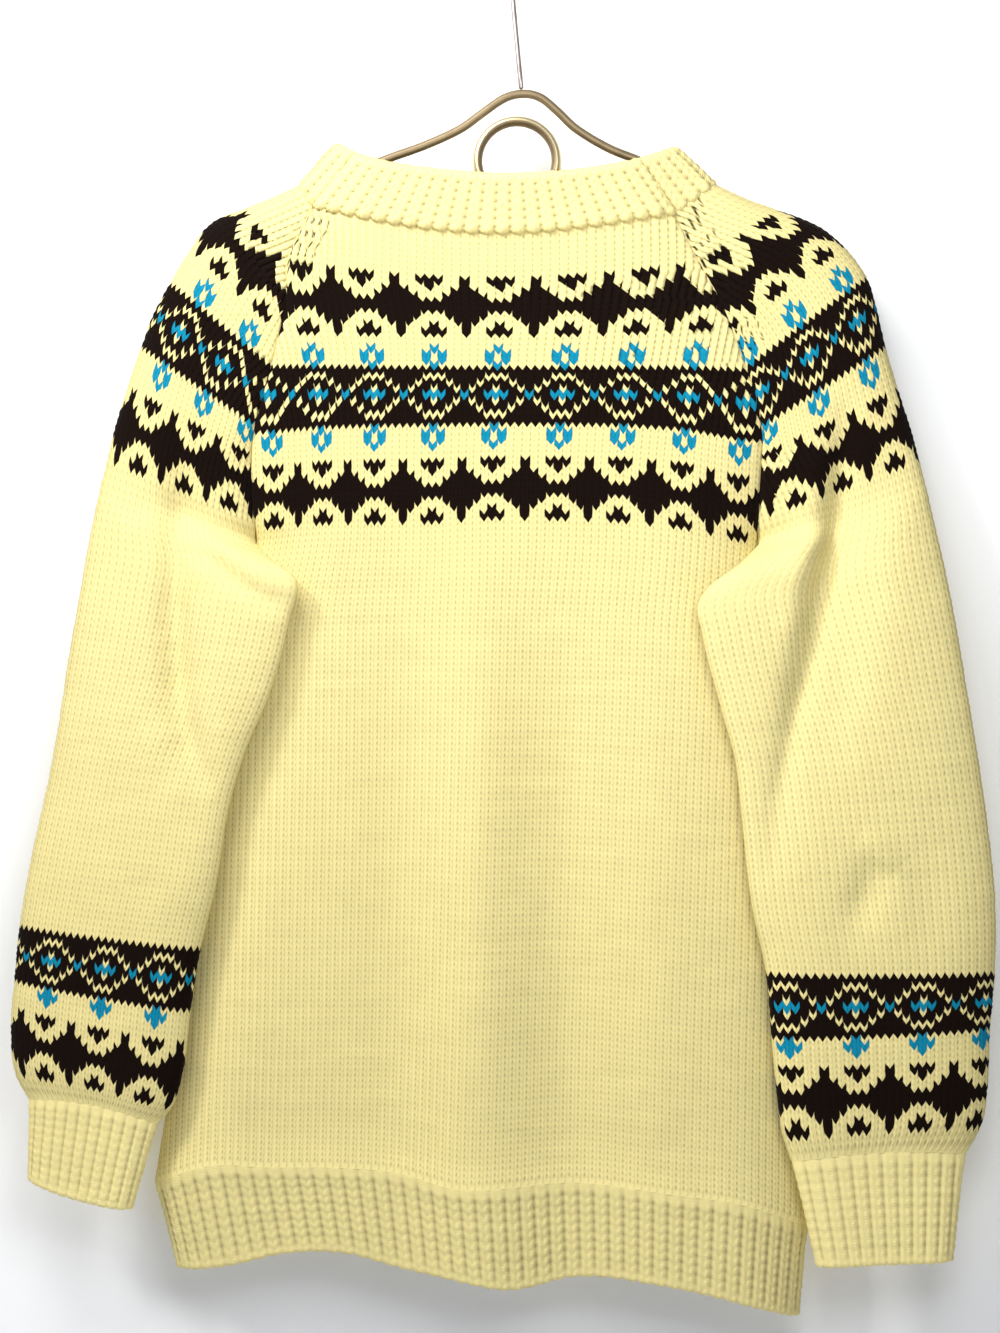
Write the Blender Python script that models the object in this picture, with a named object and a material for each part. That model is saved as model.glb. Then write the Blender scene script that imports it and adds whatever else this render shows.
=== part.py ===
"""A hand-knitted raglan jumper hanging flat on a slim metal hanger.

Run with: blender --background --python part.py

The jumper faces -Y, +Z is up and X runs to the viewer's right. The origin is the inner top of
the hanger's hook, where a rail or a wall hook bears on it. Lengths in the tables are
millimetres, and meshes are made in metres. Knit rows are counted down from the front neck, so
row 159 is where the hem rib is picked up, and a sleeve's rows carry the same numbers as the
body's rows that they meet at the raglan.
"""

import math
from collections import namedtuple

import bmesh
import bpy
import numpy as np

MM = 0.001

# Cloth
WALL = 3.0
RIB_GROOVE_WALL = 2.2
RIB_RELIEF = 1.9
BAND_THICKNESS = 7.0
BAND_PROUD = 2.4
SEAM_GAP = 0.3
# Wider where a fine rib meets the straight facets of a panel: all round the neck, and on the
# hem's slopes, for each unit of slope.
NECK_SEAM_GAP = 0.95
HEM_SLOPE_GAP = 3.3
SIDE_SEAM_Y = -1.0
END_REACH = 58.0
UNDERARM_ROW = 53
HEM_ROW = 159
BODY_COLUMNS = 22
SLEEVE_COLUMNS = 22
HEM_RIBS = 47
CUFF_RIBS = 24
NECK_RIBS = 52
SCALLOP = 1.6

# Hanger
BAR_RADIUS = 2.6
RING_RADIUS = 25.7
RING_WIRE_RADIUS = 3.2
RING_X, RING_Z = -1.1, -155.3
WIRE_RADIUS = 1.5
HOOK_RADIUS = 22.0

# The raglan seams: where a body row's end and a sleeve row's end meet, on the front and on the
# back. The front seam lies at centre_y - half_y and the back one at centre_y + half_y, and
# turn is how far the cloth there has turned from facing front (0) to facing the side (90).
Raglan = namedtuple("Raglan", "row front_x front_z back_x back_z centre_y half_y turn")
RAGLAN_LEFT = [
    Raglan(0, -130.6, -187.0, -124.0, -174.5, -1.0, 13.0, 8),
    Raglan(4, -140.0, -203.5, -136.0, -200.0, -1.5, 14.5, 8),
    Raglan(9, -148.8, -224.5, -144.0, -224.5, -2.0, 15.0, 8),
    Raglan(14, -149.0, -248.9, -150.0, -248.9, -2.0, 15.0, 8),
    Raglan(19, -153.9, -270.0, -156.0, -270.0, -2.0, 15.0, 8),
    Raglan(25, -159.1, -292.0, -161.0, -292.0, -2.0, 14.5, 8),
    Raglan(30, -165.0, -311.6, -164.5, -311.6, -2.0, 14.0, 10),
    Raglan(34, -170.0, -331.0, -167.0, -331.0, -2.2, 12.5, 14),
    Raglan(40, -172.5, -352.4, -169.0, -352.4, -2.4, 10.5, 22),
    Raglan(45, -172.5, -373.0, -170.0, -373.0, -2.4, 8.0, 38),
    Raglan(50, -170.6, -393.0, -170.2, -393.0, -1.8, 4.5, 64),
    Raglan(53, -169.8, -405.0, -169.8, -405.0, -1.0, 0.0, 90),
]
RAGLAN_RIGHT = [
    Raglan(0, 98.5, -191.0, 106.0, -175.5, -1.0, 13.0, 8),
    Raglan(4, 107.4, -208.5, 117.0, -201.0, -1.5, 14.5, 8),
    Raglan(9, 116.2, -225.6, 125.0, -225.6, -2.0, 15.0, 8),
    Raglan(14, 129.0, -248.5, 132.0, -249.5, -2.0, 15.0, 8),
    Raglan(19, 136.7, -267.4, 138.0, -268.0, -2.0, 15.0, 8),
    Raglan(25, 146.3, -292.6, 144.0, -292.6, -2.0, 14.5, 8),
    Raglan(30, 152.6, -312.5, 148.0, -312.5, -2.0, 14.0, 10),
    Raglan(34, 156.0, -332.0, 150.5, -332.0, -2.2, 12.5, 14),
    Raglan(40, 156.0, -353.0, 152.5, -353.0, -2.4, 10.5, 22),
    Raglan(45, 155.2, -373.0, 153.3, -373.0, -2.4, 8.0, 38),
    Raglan(50, 154.5, -393.5, 153.8, -393.5, -1.8, 4.5, 64),
    Raglan(53, 153.9, -406.0, 153.9, -406.0, -1.0, 0.0, 90),
]

# The middle of each body row above the underarm, on the front and on the back.
Yoke = namedtuple("Yoke", "row front_z back_z front_y back_y")
YOKE = [
    Yoke(0, -204.5, -197.0, -23.0, 16.0),
    Yoke(4, -219.0, -216.0, -22.5, 16.0),
    Yoke(9, -236.3, -236.0, -22.0, 16.0),
    Yoke(14, -254.0, -254.0, -21.5, 15.5),
    Yoke(19, -272.3, -272.3, -21.5, 15.5),
    Yoke(25, -293.3, -293.3, -21.0, 15.0),
    Yoke(30, -312.0, -312.0, -21.0, 15.0),
    Yoke(34, -328.8, -328.8, -21.0, 15.0),
    Yoke(40, -351.0, -351.0, -21.0, 15.0),
    Yoke(45, -370.0, -370.0, -21.0, 15.0),
    Yoke(50, -389.0, -389.0, -21.0, 15.0),
    Yoke(53, -401.0, -401.0, -21.0, 15.0),
]

# A neck edge rises from its middle to the raglan ends by this power of the distance.
NECK_CURVE_POWER = 1.8
# Rows in the body below the underarm, down to the hem rib.
LOWER_ROWS = [58, 66, 78, 92, 106, 120, 134, 147, 159]

# The hem, one row for each of its waves: the line where the rib starts, the rib's lower edge,
# how far forward (-) or back (+) the front cloth swings there, and the same for the back.
Hem = namedtuple("Hem", "x top_z bottom_z front_swing back_swing")
HEM = [
    Hem(-236.0, -817.8, -872.9, 0.0, 0.0),
    Hem(-198.0, -802.5, -866.0, -2.0, 1.0),
    Hem(-160.0, -804.0, -858.7, 1.5, -1.5),
    Hem(-122.0, -804.6, -858.9, 3.5, -2.5),
    Hem(-82.0, -807.5, -869.0, 2.0, 1.5),
    Hem(-37.0, -816.8, -876.6, -3.0, 2.5),
    Hem(-11.0, -816.0, -880.3, -4.0, 0.5),
    Hem(37.0, -814.4, -874.3, 2.5, -2.0),
    Hem(98.0, -820.8, -879.8, -0.5, 1.0),
    Hem(146.0, -828.2, -890.5, -2.5, 1.5),
    Hem(187.6, -845.7, -904.0, 0.0, 0.0),
]
HEM_BOTTOM_LEFT_X = -222.0
HEM_BOTTOM_RIGHT_X = 182.5
HEM_FRONT_Y = -21.0
HEM_BACK_Y = 14.0

# Long soft folds of the front below the yoke: where each lies, how far it pushes the cloth
# back (+) or forward (-), and its half width.
Fold = namedtuple("Fold", "x push half_width")
FRONT_FOLDS = [
    Fold(-73.0, 3.0, 26.0),
    Fold(-28.0, -2.5, 20.0),
    Fold(24.0, 3.0, 26.0),
    Fold(92.0, -1.5, 24.0),
]
FOLDS_START_ROW = 60
FOLDS_FULL_ROW = 120

# The sleeves, one row for each section. inner is the end at the raglan or, below the
# underarm, the edge that hangs over the body; outer is the shoulder and arm line. centre_y
# and half_y give the flattened oval's middle and half thickness towards each end. The cap
# rows take their inner end from the raglan table.
Sleeve = namedtuple(
    "Sleeve",
    "row inner_x inner_z outer_x outer_z inner_y outer_y inner_half outer_half fold_at fold",
)
SLEEVE_LEFT = [
    Sleeve(0, None, None, -139.6, -170.3, None, 0.0, 13.5, 12.0, 0.5, 0.0),
    Sleeve(4, None, None, -158.5, -179.4, None, 0.0, 15.0, 13.0, 0.5, 0.0),
    Sleeve(9, None, None, -179.3, -187.8, None, 0.0, 16.0, 14.0, 0.5, 0.0),
    Sleeve(14, None, None, -199.4, -196.6, None, 0.0, 16.5, 15.0, 0.5, 0.0),
    Sleeve(19, None, None, -212.3, -213.4, None, -1.0, 17.0, 15.0, 0.5, 0.0),
    Sleeve(25, None, None, -226.0, -236.5, None, -2.0, 17.0, 15.0, 0.5, 0.0),
    Sleeve(30, None, None, -237.0, -257.8, None, -3.0, 17.5, 15.0, 0.5, 0.0),
    Sleeve(34, None, None, -243.8, -277.2, None, -4.0, 18.0, 15.0, 0.5, 0.0),
    Sleeve(40, None, None, -252.4, -304.0, None, -6.0, 18.0, 15.0, 0.55, 0.5),
    Sleeve(45, None, None, -259.2, -326.9, None, -8.0, 17.0, 15.0, 0.57, 1.0),
    Sleeve(50, None, None, -264.6, -350.5, None, -10.0, 16.0, 14.5, 0.58, 2.0),
    Sleeve(53, None, None, -268.5, -368.0, None, -12.0, 15.0, 14.0, 0.58, 2.5),
    Sleeve(56, -160.0, -415.0, -272.0, -385.0, -21.0, -13.0, 11.5, 14.0, 0.58, 3.0),
    Sleeve(60, -142.0, -428.0, -276.0, -407.0, -32.0, -15.0, 9.5, 14.0, 0.57, 3.0),
    Sleeve(66, -146.0, -455.0, -280.6, -436.0, -32.0, -17.0, 10.0, 14.0, 0.55, 3.5),
    Sleeve(78, -159.0, -503.0, -289.0, -486.0, -31.5, -18.0, 10.5, 14.0, 0.45, 4.0),
    Sleeve(86, -173.0, -535.5, -293.4, -518.0, -31.0, -19.0, 11.0, 14.0, 0.32, 3.0),
    Sleeve(94, -183.0, -567.5, -299.4, -551.0, -30.0, -19.0, 12.0, 14.0, 0.2, 1.5),
    Sleeve(108, -193.0, -624.0, -311.8, -609.0, -29.0, -20.0, 13.0, 14.0, 0.5, 0.0),
    Sleeve(118, -202.6, -663.4, -318.7, -650.1, -28.0, -20.0, 13.0, 14.0, 0.5, 0.0),
    Sleeve(127, -209.1, -702.0, -322.0, -684.0, -27.0, -20.0, 13.0, 13.5, 0.5, 0.0),
    Sleeve(137, -214.6, -743.5, -324.0, -720.0, -26.5, -20.5, 13.0, 13.0, 0.5, 0.0),
    Sleeve(142, -221.0, -764.0, -321.5, -743.0, -26.0, -21.0, 12.0, 12.0, 0.5, 0.0),
    Sleeve(145, -230.0, -774.5, -313.4, -760.0, -26.0, -21.5, 9.5, 9.5, 0.5, 0.0),
]
SLEEVE_RIGHT = [
    Sleeve(0, None, None, 125.7, -170.3, None, 0.0, 13.5, 12.0, 0.5, 0.0),
    Sleeve(4, None, None, 148.4, -180.8, None, 0.0, 15.0, 13.0, 0.5, 0.0),
    Sleeve(9, None, None, 169.9, -188.7, None, 0.0, 16.0, 14.0, 0.5, 0.0),
    Sleeve(14, None, None, 194.0, -198.4, None, 0.0, 16.5, 15.0, 0.5, 0.0),
    Sleeve(19, None, None, 211.0, -212.5, None, -1.0, 17.0, 15.0, 0.5, 0.0),
    Sleeve(25, None, None, 225.5, -233.0, None, -2.0, 17.0, 15.0, 0.5, 0.0),
    Sleeve(30, None, None, 231.8, -254.5, None, -3.0, 17.5, 15.0, 0.5, 0.0),
    Sleeve(34, None, None, 236.8, -277.2, None, -4.0, 18.0, 15.0, 0.5, 0.0),
    Sleeve(40, None, None, 244.6, -305.3, None, -6.0, 18.0, 15.0, 0.5, 1.0),
    Sleeve(45, None, None, 251.7, -329.0, None, -8.0, 17.5, 15.0, 0.46, 3.0),
    Sleeve(50, None, None, 257.1, -350.5, None, -10.0, 17.0, 14.5, 0.43, 5.0),
    Sleeve(53, None, None, 261.0, -367.0, None, -12.0, 17.0, 14.0, 0.42, 6.5),
    Sleeve(56, 143.0, -417.0, 264.6, -383.5, -22.0, -13.0, 13.0, 14.0, 0.42, 8.0),
    Sleeve(60, 121.0, -433.0, 269.0, -404.0, -33.0, -15.0, 11.0, 14.0, 0.42, 8.5),
    Sleeve(63, 113.0, -445.0, 272.4, -420.0, -34.0, -16.0, 11.0, 14.0, 0.42, 8.5),
    Sleeve(67, 115.6, -463.0, 276.3, -439.5, -34.0, -17.0, 11.0, 14.0, 0.4, 8.5),
    Sleeve(78, 127.5, -509.5, 285.4, -493.0, -33.0, -18.0, 11.0, 14.0, 0.28, 7.5),
    Sleeve(86, 137.0, -544.0, 291.6, -532.0, -32.0, -19.0, 11.5, 14.0, 0.18, 5.0),
    Sleeve(94, 141.0, -578.5, 297.4, -571.0, -31.0, -19.0, 12.0, 14.0, 0.12, 3.0),
    Sleeve(108, 148.0, -637.0, 304.0, -636.0, -30.0, -20.0, 13.0, 14.0, 0.7, 2.5),
    Sleeve(118, 157.0, -679.2, 303.6, -680.2, -29.0, -20.0, 13.5, 14.0, 0.5, 0.0),
    Sleeve(127, 160.5, -719.0, 300.6, -714.7, -28.0, -20.0, 13.5, 13.5, 0.5, 0.0),
    Sleeve(137, 164.4, -758.0, 298.6, -755.0, -27.0, -20.5, 13.0, 13.0, 0.5, 0.0),
    Sleeve(142, 168.0, -783.0, 294.6, -777.0, -26.5, -21.0, 12.0, 12.0, 0.5, 0.0),
    Sleeve(145, 173.0, -798.5, 285.8, -794.5, -26.5, -21.5, 9.5, 9.5, 0.5, 0.0),
]
SLEEVE_FOLD_HALF_WIDTH = 0.11
# Share of a section's width over which its inner and its outer edge are rounded.
INNER_ROUNDING = 0.3
OUTER_ROUNDING = 0.42

# The lower edges of the cuffs.
Cuff = namedtuple("Cuff", "inner_x inner_z outer_x outer_z inner_y outer_y half_y middle_rise")
CUFF_LEFT = Cuff(-246.0, -829.0, -314.0, -811.0, -25.0, -21.0, 9.0, -2.5)
CUFF_RIGHT = Cuff(189.0, -865.5, 277.5, -863.0, -25.0, -21.0, 9.5, 1.0)
# How far the middle of a sleeve's last row lies above the straight line between its ends.
SLEEVE_END_RISE_LEFT = 5.5
SLEEVE_END_RISE_RIGHT = 4.5

# The folded neckband's upper edge, one row for each point round the neck from the left side
# over the front to the right side and back again.
Neck = namedtuple("Neck", "x y z")
NECK_TOP = [
    Neck(-116.2, 0.0, -145.6),
    Neck(-112.5, -8.5, -149.5),
    Neck(-100.8, -15.5, -156.2),
    Neck(-81.3, -19.5, -161.8),
    Neck(-46.6, -22.5, -167.2),
    Neck(-12.2, -23.5, -169.8),
    Neck(23.6, -22.5, -168.3),
    Neck(55.6, -20.5, -163.9),
    Neck(77.7, -16.5, -158.4),
    Neck(92.6, -9.5, -152.0),
    Neck(99.0, 0.0, -147.8),
    Neck(90.0, 9.0, -150.5),
    Neck(46.9, 12.5, -158.6),
    Neck(-12.2, 13.5, -162.6),
    Neck(-64.7, 12.5, -158.4),
    Neck(-107.0, 9.0, -149.2),
]

# The hanger's bar from its left tip over the apex to its right tip.
Bar = namedtuple("Bar", "x z")
HANGER_BAR = [
    Bar(-193.0, -201.0),
    Bar(-177.0, -194.4),
    Bar(-156.5, -185.6),
    Bar(-137.0, -177.4),
    Bar(-116.2, -167.9),
    Bar(-87.6, -154.9),
    Bar(-61.9, -145.6),
    Bar(-38.8, -135.1),
    Bar(-18.7, -121.6),
    Bar(-5.0, -113.4),
    Bar(1.2, -111.8),
    Bar(8.0, -114.0),
    Bar(21.7, -124.1),
    Bar(37.6, -135.1),
    Bar(58.1, -146.9),
    Bar(80.2, -155.9),
    Bar(103.0, -167.0),
    Bar(123.0, -177.6),
    Bar(145.8, -187.2),
    Bar(167.8, -195.0),
    Bar(188.0, -202.8),
]
CROSSBAR_END_OVERLAP = 3.0
STEM_FOOT_X = 1.6
STEM_BEND = [Bar(-3.6, -52.0), Bar(-3.4, -46.5)]
HOOK_START_DEG = -66.0
HOOK_END_DEG = 205.0


def clear_scene():
    for scene_object in list(bpy.data.objects):
        bpy.data.objects.remove(scene_object, do_unlink=True)


def material(name, colour, roughness, metallic=0.0):
    """A plain Principled finish."""
    finish = bpy.data.materials.new(name)
    finish.use_nodes = True
    shader = finish.node_tree.nodes["Principled BSDF"]
    shader.inputs["Base Color"].default_value = (*colour, 1.0)
    shader.inputs["Roughness"].default_value = roughness
    shader.inputs["Metallic"].default_value = metallic
    return finish


def add_object(name, mesh_builder, finish):
    """Makes the node's object from a bmesh whose points are in metres."""
    bmesh.ops.recalc_face_normals(mesh_builder, faces=mesh_builder.faces)
    mesh = bpy.data.meshes.new(name)
    mesh_builder.to_mesh(mesh)
    mesh_builder.free()
    mesh.materials.append(finish)
    mesh.shade_smooth()
    mesh.set_sharp_from_angle(angle=math.radians(50))
    node = bpy.data.objects.new(name, mesh)
    bpy.context.scene.collection.objects.link(node)
    return node


def smooth_path(points, steps, closed=False):
    """A Catmull-Rom curve through the points, with this many steps between two of them."""
    points = np.asarray(points, float)
    count = len(points)
    if closed:
        padded = np.vstack([points[-1], points, points[:2]])
        spans = count
    else:
        first = 2 * points[0] - points[1]
        last = 2 * points[-1] - points[-2]
        padded = np.vstack([first, points, last])
        spans = count - 1
    curve = []
    for span in range(spans):
        a, b, c, d = padded[span : span + 4]
        for step in range(steps):
            t = step / steps
            curve.append(
                0.5
                * (
                    2 * b
                    + (c - a) * t
                    + (2 * a - 5 * b + 4 * c - d) * t**2
                    + (3 * b - a - 3 * c + d) * t**3
                )
            )
    if not closed:
        curve.append(points[-1])
    return np.array(curve)


def resample(path, count, closed=False):
    """The path's points at even distances along it. A closed path keeps count points."""
    path = np.asarray(path, float)
    if closed:
        path = np.vstack([path, path[0]])
    lengths = np.linalg.norm(np.diff(path, axis=0), axis=1)
    along = np.concatenate([[0.0], np.cumsum(lengths)])
    places = np.linspace(0.0, along[-1], count + 1 if closed else count)
    if closed:
        places = places[:-1]
    return np.column_stack([np.interp(places, along, path[:, k]) for k in range(3)])


def rounded_end(distance, reach):
    """1 at a cloth edge that turns a corner, falling to 0 like a quarter ellipse."""
    left = np.clip(1.0 - np.asarray(distance, float) / reach, 0.0, 1.0)
    return 1.0 - np.sqrt(1.0 - left**2)


def dip(place, middle, half_width):
    return np.exp(-(((place - middle) / half_width) ** 2))


def grid_normals(grid, wrapped):
    """Unit normals of a grid of points, from its rows and columns. wrapped marks closed rows."""
    down = np.gradient(grid, axis=0)
    across = np.gradient(grid, axis=1)
    for row in np.nonzero(wrapped)[0]:
        turn = grid[row, 1] - grid[row, -2]
        across[row, 0] = across[row, -1] = turn / 2
        down[row, -1] = down[row, 0]
    normals = np.cross(across, down)
    return normals / np.linalg.norm(normals, axis=2, keepdims=True)


def wall_between(outer, inner, open_sides_to=None):
    """A closed wall from its outer and inner grid.

    The side edges get a rim down to row open_sides_to, and below it the first and the last
    column are the same points. None gives both sides a rim all the way.
    """
    rows, columns = outer.shape[:2]
    last_rim = rows - 1 if open_sides_to is None else open_sides_to
    builder = bmesh.new()
    skins = []
    for grid in (outer, inner):
        skins.append([[builder.verts.new(point * MM) for point in row] for row in grid])
    for skin in skins:
        for r in range(rows - 1):
            for c in range(columns - 1):
                builder.faces.new(
                    (skin[r][c], skin[r][c + 1], skin[r + 1][c + 1], skin[r + 1][c])
                )
    out, into = skins
    for r in (0, rows - 1):
        for c in range(columns - 1):
            builder.faces.new((out[r][c], out[r][c + 1], into[r][c + 1], into[r][c]))
    for c in (0, columns - 1):
        for r in range(last_rim):
            builder.faces.new((out[r][c], out[r + 1][c], into[r + 1][c], into[r][c]))
    bmesh.ops.remove_doubles(builder, verts=builder.verts, dist=0.001 * MM)
    return builder


def tube_along(path, radius, sides):
    """A round bar along a path of points in the XZ plane, with flat ends."""
    path = np.asarray(path, float)
    tangents = np.gradient(path, axis=0)
    tangents /= np.linalg.norm(tangents, axis=1, keepdims=True)
    depth = np.array([0.0, 1.0, 0.0])
    builder = bmesh.new()
    rings = []
    for point, tangent in zip(path, tangents):
        side = np.cross(tangent, depth)
        ring = []
        for k in range(sides):
            angle = 2 * math.pi * (k + 0.5) / sides
            offset = radius * (math.cos(angle) * side + math.sin(angle) * depth)
            ring.append(builder.verts.new((point + offset) * MM))
        rings.append(ring)
    for ring, following in zip(rings, rings[1:]):
        for k in range(sides):
            after = (k + 1) % sides
            builder.faces.new((ring[k], ring[after], following[after], following[k]))
    builder.faces.new(rings[0])
    builder.faces.new(rings[-1])
    return builder


# ---------------------------------------------------------------------------------- body


class Body:
    """The front (side = -1) or the back (side = +1) of the jumper's body."""

    def __init__(self, side):
        self.front = side < 0
        self.side = side
        self.rows = [yoke.row for yoke in YOKE] + LOWER_ROWS
        self.outer = np.array([self.section(row) for row in self.rows])

    def row_ends(self, row):
        """The row's left and right end, its middle, and how far its ends have turned."""
        if row <= UNDERARM_ROW:
            left = next(r for r in RAGLAN_LEFT if r.row == row)
            right = next(r for r in RAGLAN_RIGHT if r.row == row)
            yoke = next(y for y in YOKE if y.row == row)
            if self.front:
                ends = [(r.front_x, r.centre_y - r.half_y, r.front_z) for r in (left, right)]
                middle = (yoke.front_y, yoke.front_z)
            else:
                ends = [(r.back_x, r.centre_y + r.half_y, r.back_z) for r in (left, right)]
                middle = (yoke.back_y, yoke.back_z)
            return ends[0], ends[1], middle, left.turn
        share = (row - UNDERARM_ROW) / (HEM_ROW - UNDERARM_ROW)
        ends = []
        for raglan, hem in ((RAGLAN_LEFT[-1], HEM[0]), (RAGLAN_RIGHT[-1], HEM[-1])):
            x = raglan.front_x + (hem.x - raglan.front_x) * share
            z = raglan.front_z + (hem.top_z - raglan.front_z) * share
            ends.append((x, SIDE_SEAM_Y, z))
        start = YOKE[-1]
        low_y = HEM_FRONT_Y if self.front else HEM_BACK_Y
        high_y = start.front_y if self.front else start.back_y
        hem_z = np.interp(self.middle_x(ends), [h.x for h in HEM], [h.top_z for h in HEM])
        middle = (high_y + (low_y - high_y) * share, start.front_z + (hem_z - start.front_z) * share)
        return ends[0], ends[1], middle, 90

    @staticmethod
    def middle_x(ends):
        return 0.5 * (ends[0][0] + ends[1][0])

    def section(self, row):
        """The outer points along one knit row, at even distances, from left to right."""
        left, right, (middle_y, middle_z), _ = self.row_ends(row)
        fine = 240
        x = left[0] + (right[0] - left[0]) * 0.5 * (1 - np.cos(np.linspace(0, math.pi, fine)))
        middle_x = self.middle_x((left, right))
        across = np.where(x < middle_x, (middle_x - x) / (middle_x - left[0]), 0.0)
        across = np.where(x > middle_x, (x - middle_x) / (right[0] - middle_x), across)
        power = NECK_CURVE_POWER if row == 0 else 2.0
        end_z = np.where(x < middle_x, left[2], right[2])
        z = middle_z + (end_z - middle_z) * across**power
        share = max(0.0, (row - UNDERARM_ROW) / (HEM_ROW - UNDERARM_ROW))
        hem_z = np.interp(x, [h.x for h in HEM], [h.top_z for h in HEM])
        z = z + (hem_z - z) * share**3
        near_left = rounded_end(x - left[0], END_REACH)
        near_right = rounded_end(right[0] - x, END_REACH)
        y = middle_y + (left[1] - middle_y) * near_left + (right[1] - middle_y) * near_right
        y += self.folds(row, x) * (1 - near_left) * (1 - near_right)
        return resample(np.column_stack([x, y, z]), BODY_COLUMNS + 1)

    def folds(self, row, x):
        """How far the soft folds and the swing of the hem move the cloth in Y."""
        hem_share = max(0.0, (row - UNDERARM_ROW) / (HEM_ROW - UNDERARM_ROW)) ** 2
        swing = [h.front_swing if self.front else h.back_swing for h in HEM]
        moved = hem_share * np.interp(x, [h.x for h in HEM], swing)
        grown = np.interp(row, [FOLDS_START_ROW, FOLDS_FULL_ROW, HEM_ROW], [0.0, 1.0, 0.4])
        for fold in FRONT_FOLDS:
            push = fold.push if self.front else -0.5 * fold.push
            moved = moved + grown * push * dip(x, fold.x, fold.half_width)
        return moved

    def inner(self):
        """The inner points: the wall's thickness behind the outer ones."""
        normals = grid_normals(self.outer, np.zeros(len(self.rows), bool)) * self.side
        normals *= np.sign(normals[:, BODY_COLUMNS // 2, 1] * self.side)[:, None, None]
        for index, row in enumerate(self.rows):
            turn = math.radians(self.row_ends(row)[3])
            facing = self.side * math.cos(turn)
            normals[index, 0] = (-math.sin(turn), facing, 0.0)
            normals[index, -1] = (math.sin(turn), facing, 0.0)
        return self.outer - WALL * normals

    def build(self):
        """The panel's wall, drawn back from its neighbours by half the seam gap."""
        inner = self.inner()
        outer = self.outer.copy()
        half = SEAM_GAP / 2 + 0.05
        for grid in (outer, inner):
            for index, row in enumerate(self.rows):
                if row < UNDERARM_ROW:
                    grid[index, 0, 0] += half
                    grid[index, -1, 0] -= half
                else:
                    grid[index, 0, 1] += self.side * half
                    grid[index, -1, 1] += self.side * half
        return wall_between(outer, inner)


# ------------------------------------------------------------------------------- sleeves


class SleeveShape:
    """One sleeve: an open cap between the raglans that becomes a tube below the underarm."""

    def __init__(self, table, raglan, body_side, end_rise):
        self.table = table
        self.raglan = {r.row: r for r in raglan}
        self.body_side = body_side
        self.end_rise = end_rise
        self.open_rows = sum(1 for row in table if row.inner_x is None)
        self.outer = np.array([self.section(row) for row in table])

    def ends(self, row):
        """The row's front and back inner ends and the half thickness there."""
        if row.inner_x is not None:
            inner = np.array([row.inner_x, row.inner_y, row.inner_z])
            return inner, inner, 0.0
        seam = self.raglan[row.row]
        front = np.array([seam.front_x, seam.centre_y, seam.front_z])
        back = np.array([seam.back_x, seam.centre_y, seam.back_z])
        return front, back, seam.half_y

    def section(self, row):
        """Outer points from the front inner end round the outer edge to the back inner end."""
        front, back, seam_half = self.ends(row)
        outer = np.array([row.outer_x, row.outer_y, row.outer_z])
        share = 0.5 * (1 - np.cos(np.linspace(0, math.pi, 160)))[:, None]
        halves = []
        for inner, side in ((front, -1.0), (back, 1.0)):
            line = inner + (outer - inner) * share
            middle_half = row.inner_half + (row.outer_half - row.inner_half) * share
            near_inner = rounded_end(share, INNER_ROUNDING)
            near_outer = rounded_end(1 - share, OUTER_ROUNDING)
            half = middle_half + (seam_half - middle_half) * near_inner
            half = half - middle_half * near_outer
            line[:, 1:2] += side * half
            if side < 0:
                folded = row.fold * dip(share, row.fold_at, SLEEVE_FOLD_HALF_WIDTH)
                line[:, 1:2] += folded * (1 - near_inner) * (1 - near_outer)
            line[:, 2:3] += self.row_rise(row) * 4 * share * (1 - share)
            halves.append(resample(line, SLEEVE_COLUMNS // 2 + 1))
        return np.vstack([halves[0], halves[1][::-1][1:]])

    def row_rise(self, row):
        """The last rows bow upwards where the cuff draws them in."""
        return self.end_rise * np.clip((row.row - 137) / 8.0, 0.0, 1.0)

    def inner(self):
        wrapped = np.array([row.inner_x is not None for row in self.table])
        normals = grid_normals(self.outer, wrapped)
        middle = SLEEVE_COLUMNS // 4
        normals *= -np.sign(normals[:, middle, 1])[:, None, None]
        for index, row in enumerate(self.table[: self.open_rows]):
            turn = math.radians(self.raglan[row.row].turn)
            sideways = self.body_side * math.sin(turn)
            normals[index, 0] = (sideways, -math.cos(turn), 0.0)
            normals[index, -1] = (sideways, math.cos(turn), 0.0)
        return self.outer - WALL * normals

    def build(self):
        inner = self.inner()
        outer = self.outer.copy()
        half = SEAM_GAP / 2 + 0.05
        for grid in (outer, inner):
            grid[: self.open_rows, 0, 0] -= self.body_side * half
            grid[: self.open_rows, -1, 0] -= self.body_side * half
        return wall_between(outer, inner, open_sides_to=self.open_rows - 1)


# ---------------------------------------------------------------------- ribs and neckband


def ribbed_wall(top, bottom, ribs, outward, closed, scallop=0.0):
    """A 1x1 rib between its top and bottom line: ridges on the outside, plain inside.

    top and bottom hold a point for each ridge and each groove between them.
    """
    drop = bottom - top
    outer_rows, inner_rows = [], []
    ridge = (np.arange(len(top)) % 2).astype(float)[:, None]
    for share in (0.0, 0.5, 1.0):
        line = top + drop * share
        if share == 1.0:
            line = line - drop / np.linalg.norm(drop, axis=1, keepdims=True) * scallop * (1 - ridge)
        inner_rows.append(line)
        outer_rows.append(line + outward * (RIB_GROOVE_WALL + RIB_RELIEF * ridge))
    outer, inner = np.array(outer_rows), np.array(inner_rows)
    if closed:
        outer = np.concatenate([outer, outer[:, :1]], axis=1)
        inner = np.concatenate([inner, inner[:, :1]], axis=1)
        return wall_between(outer, inner, open_sides_to=0)
    return wall_between(outer, inner)


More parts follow.
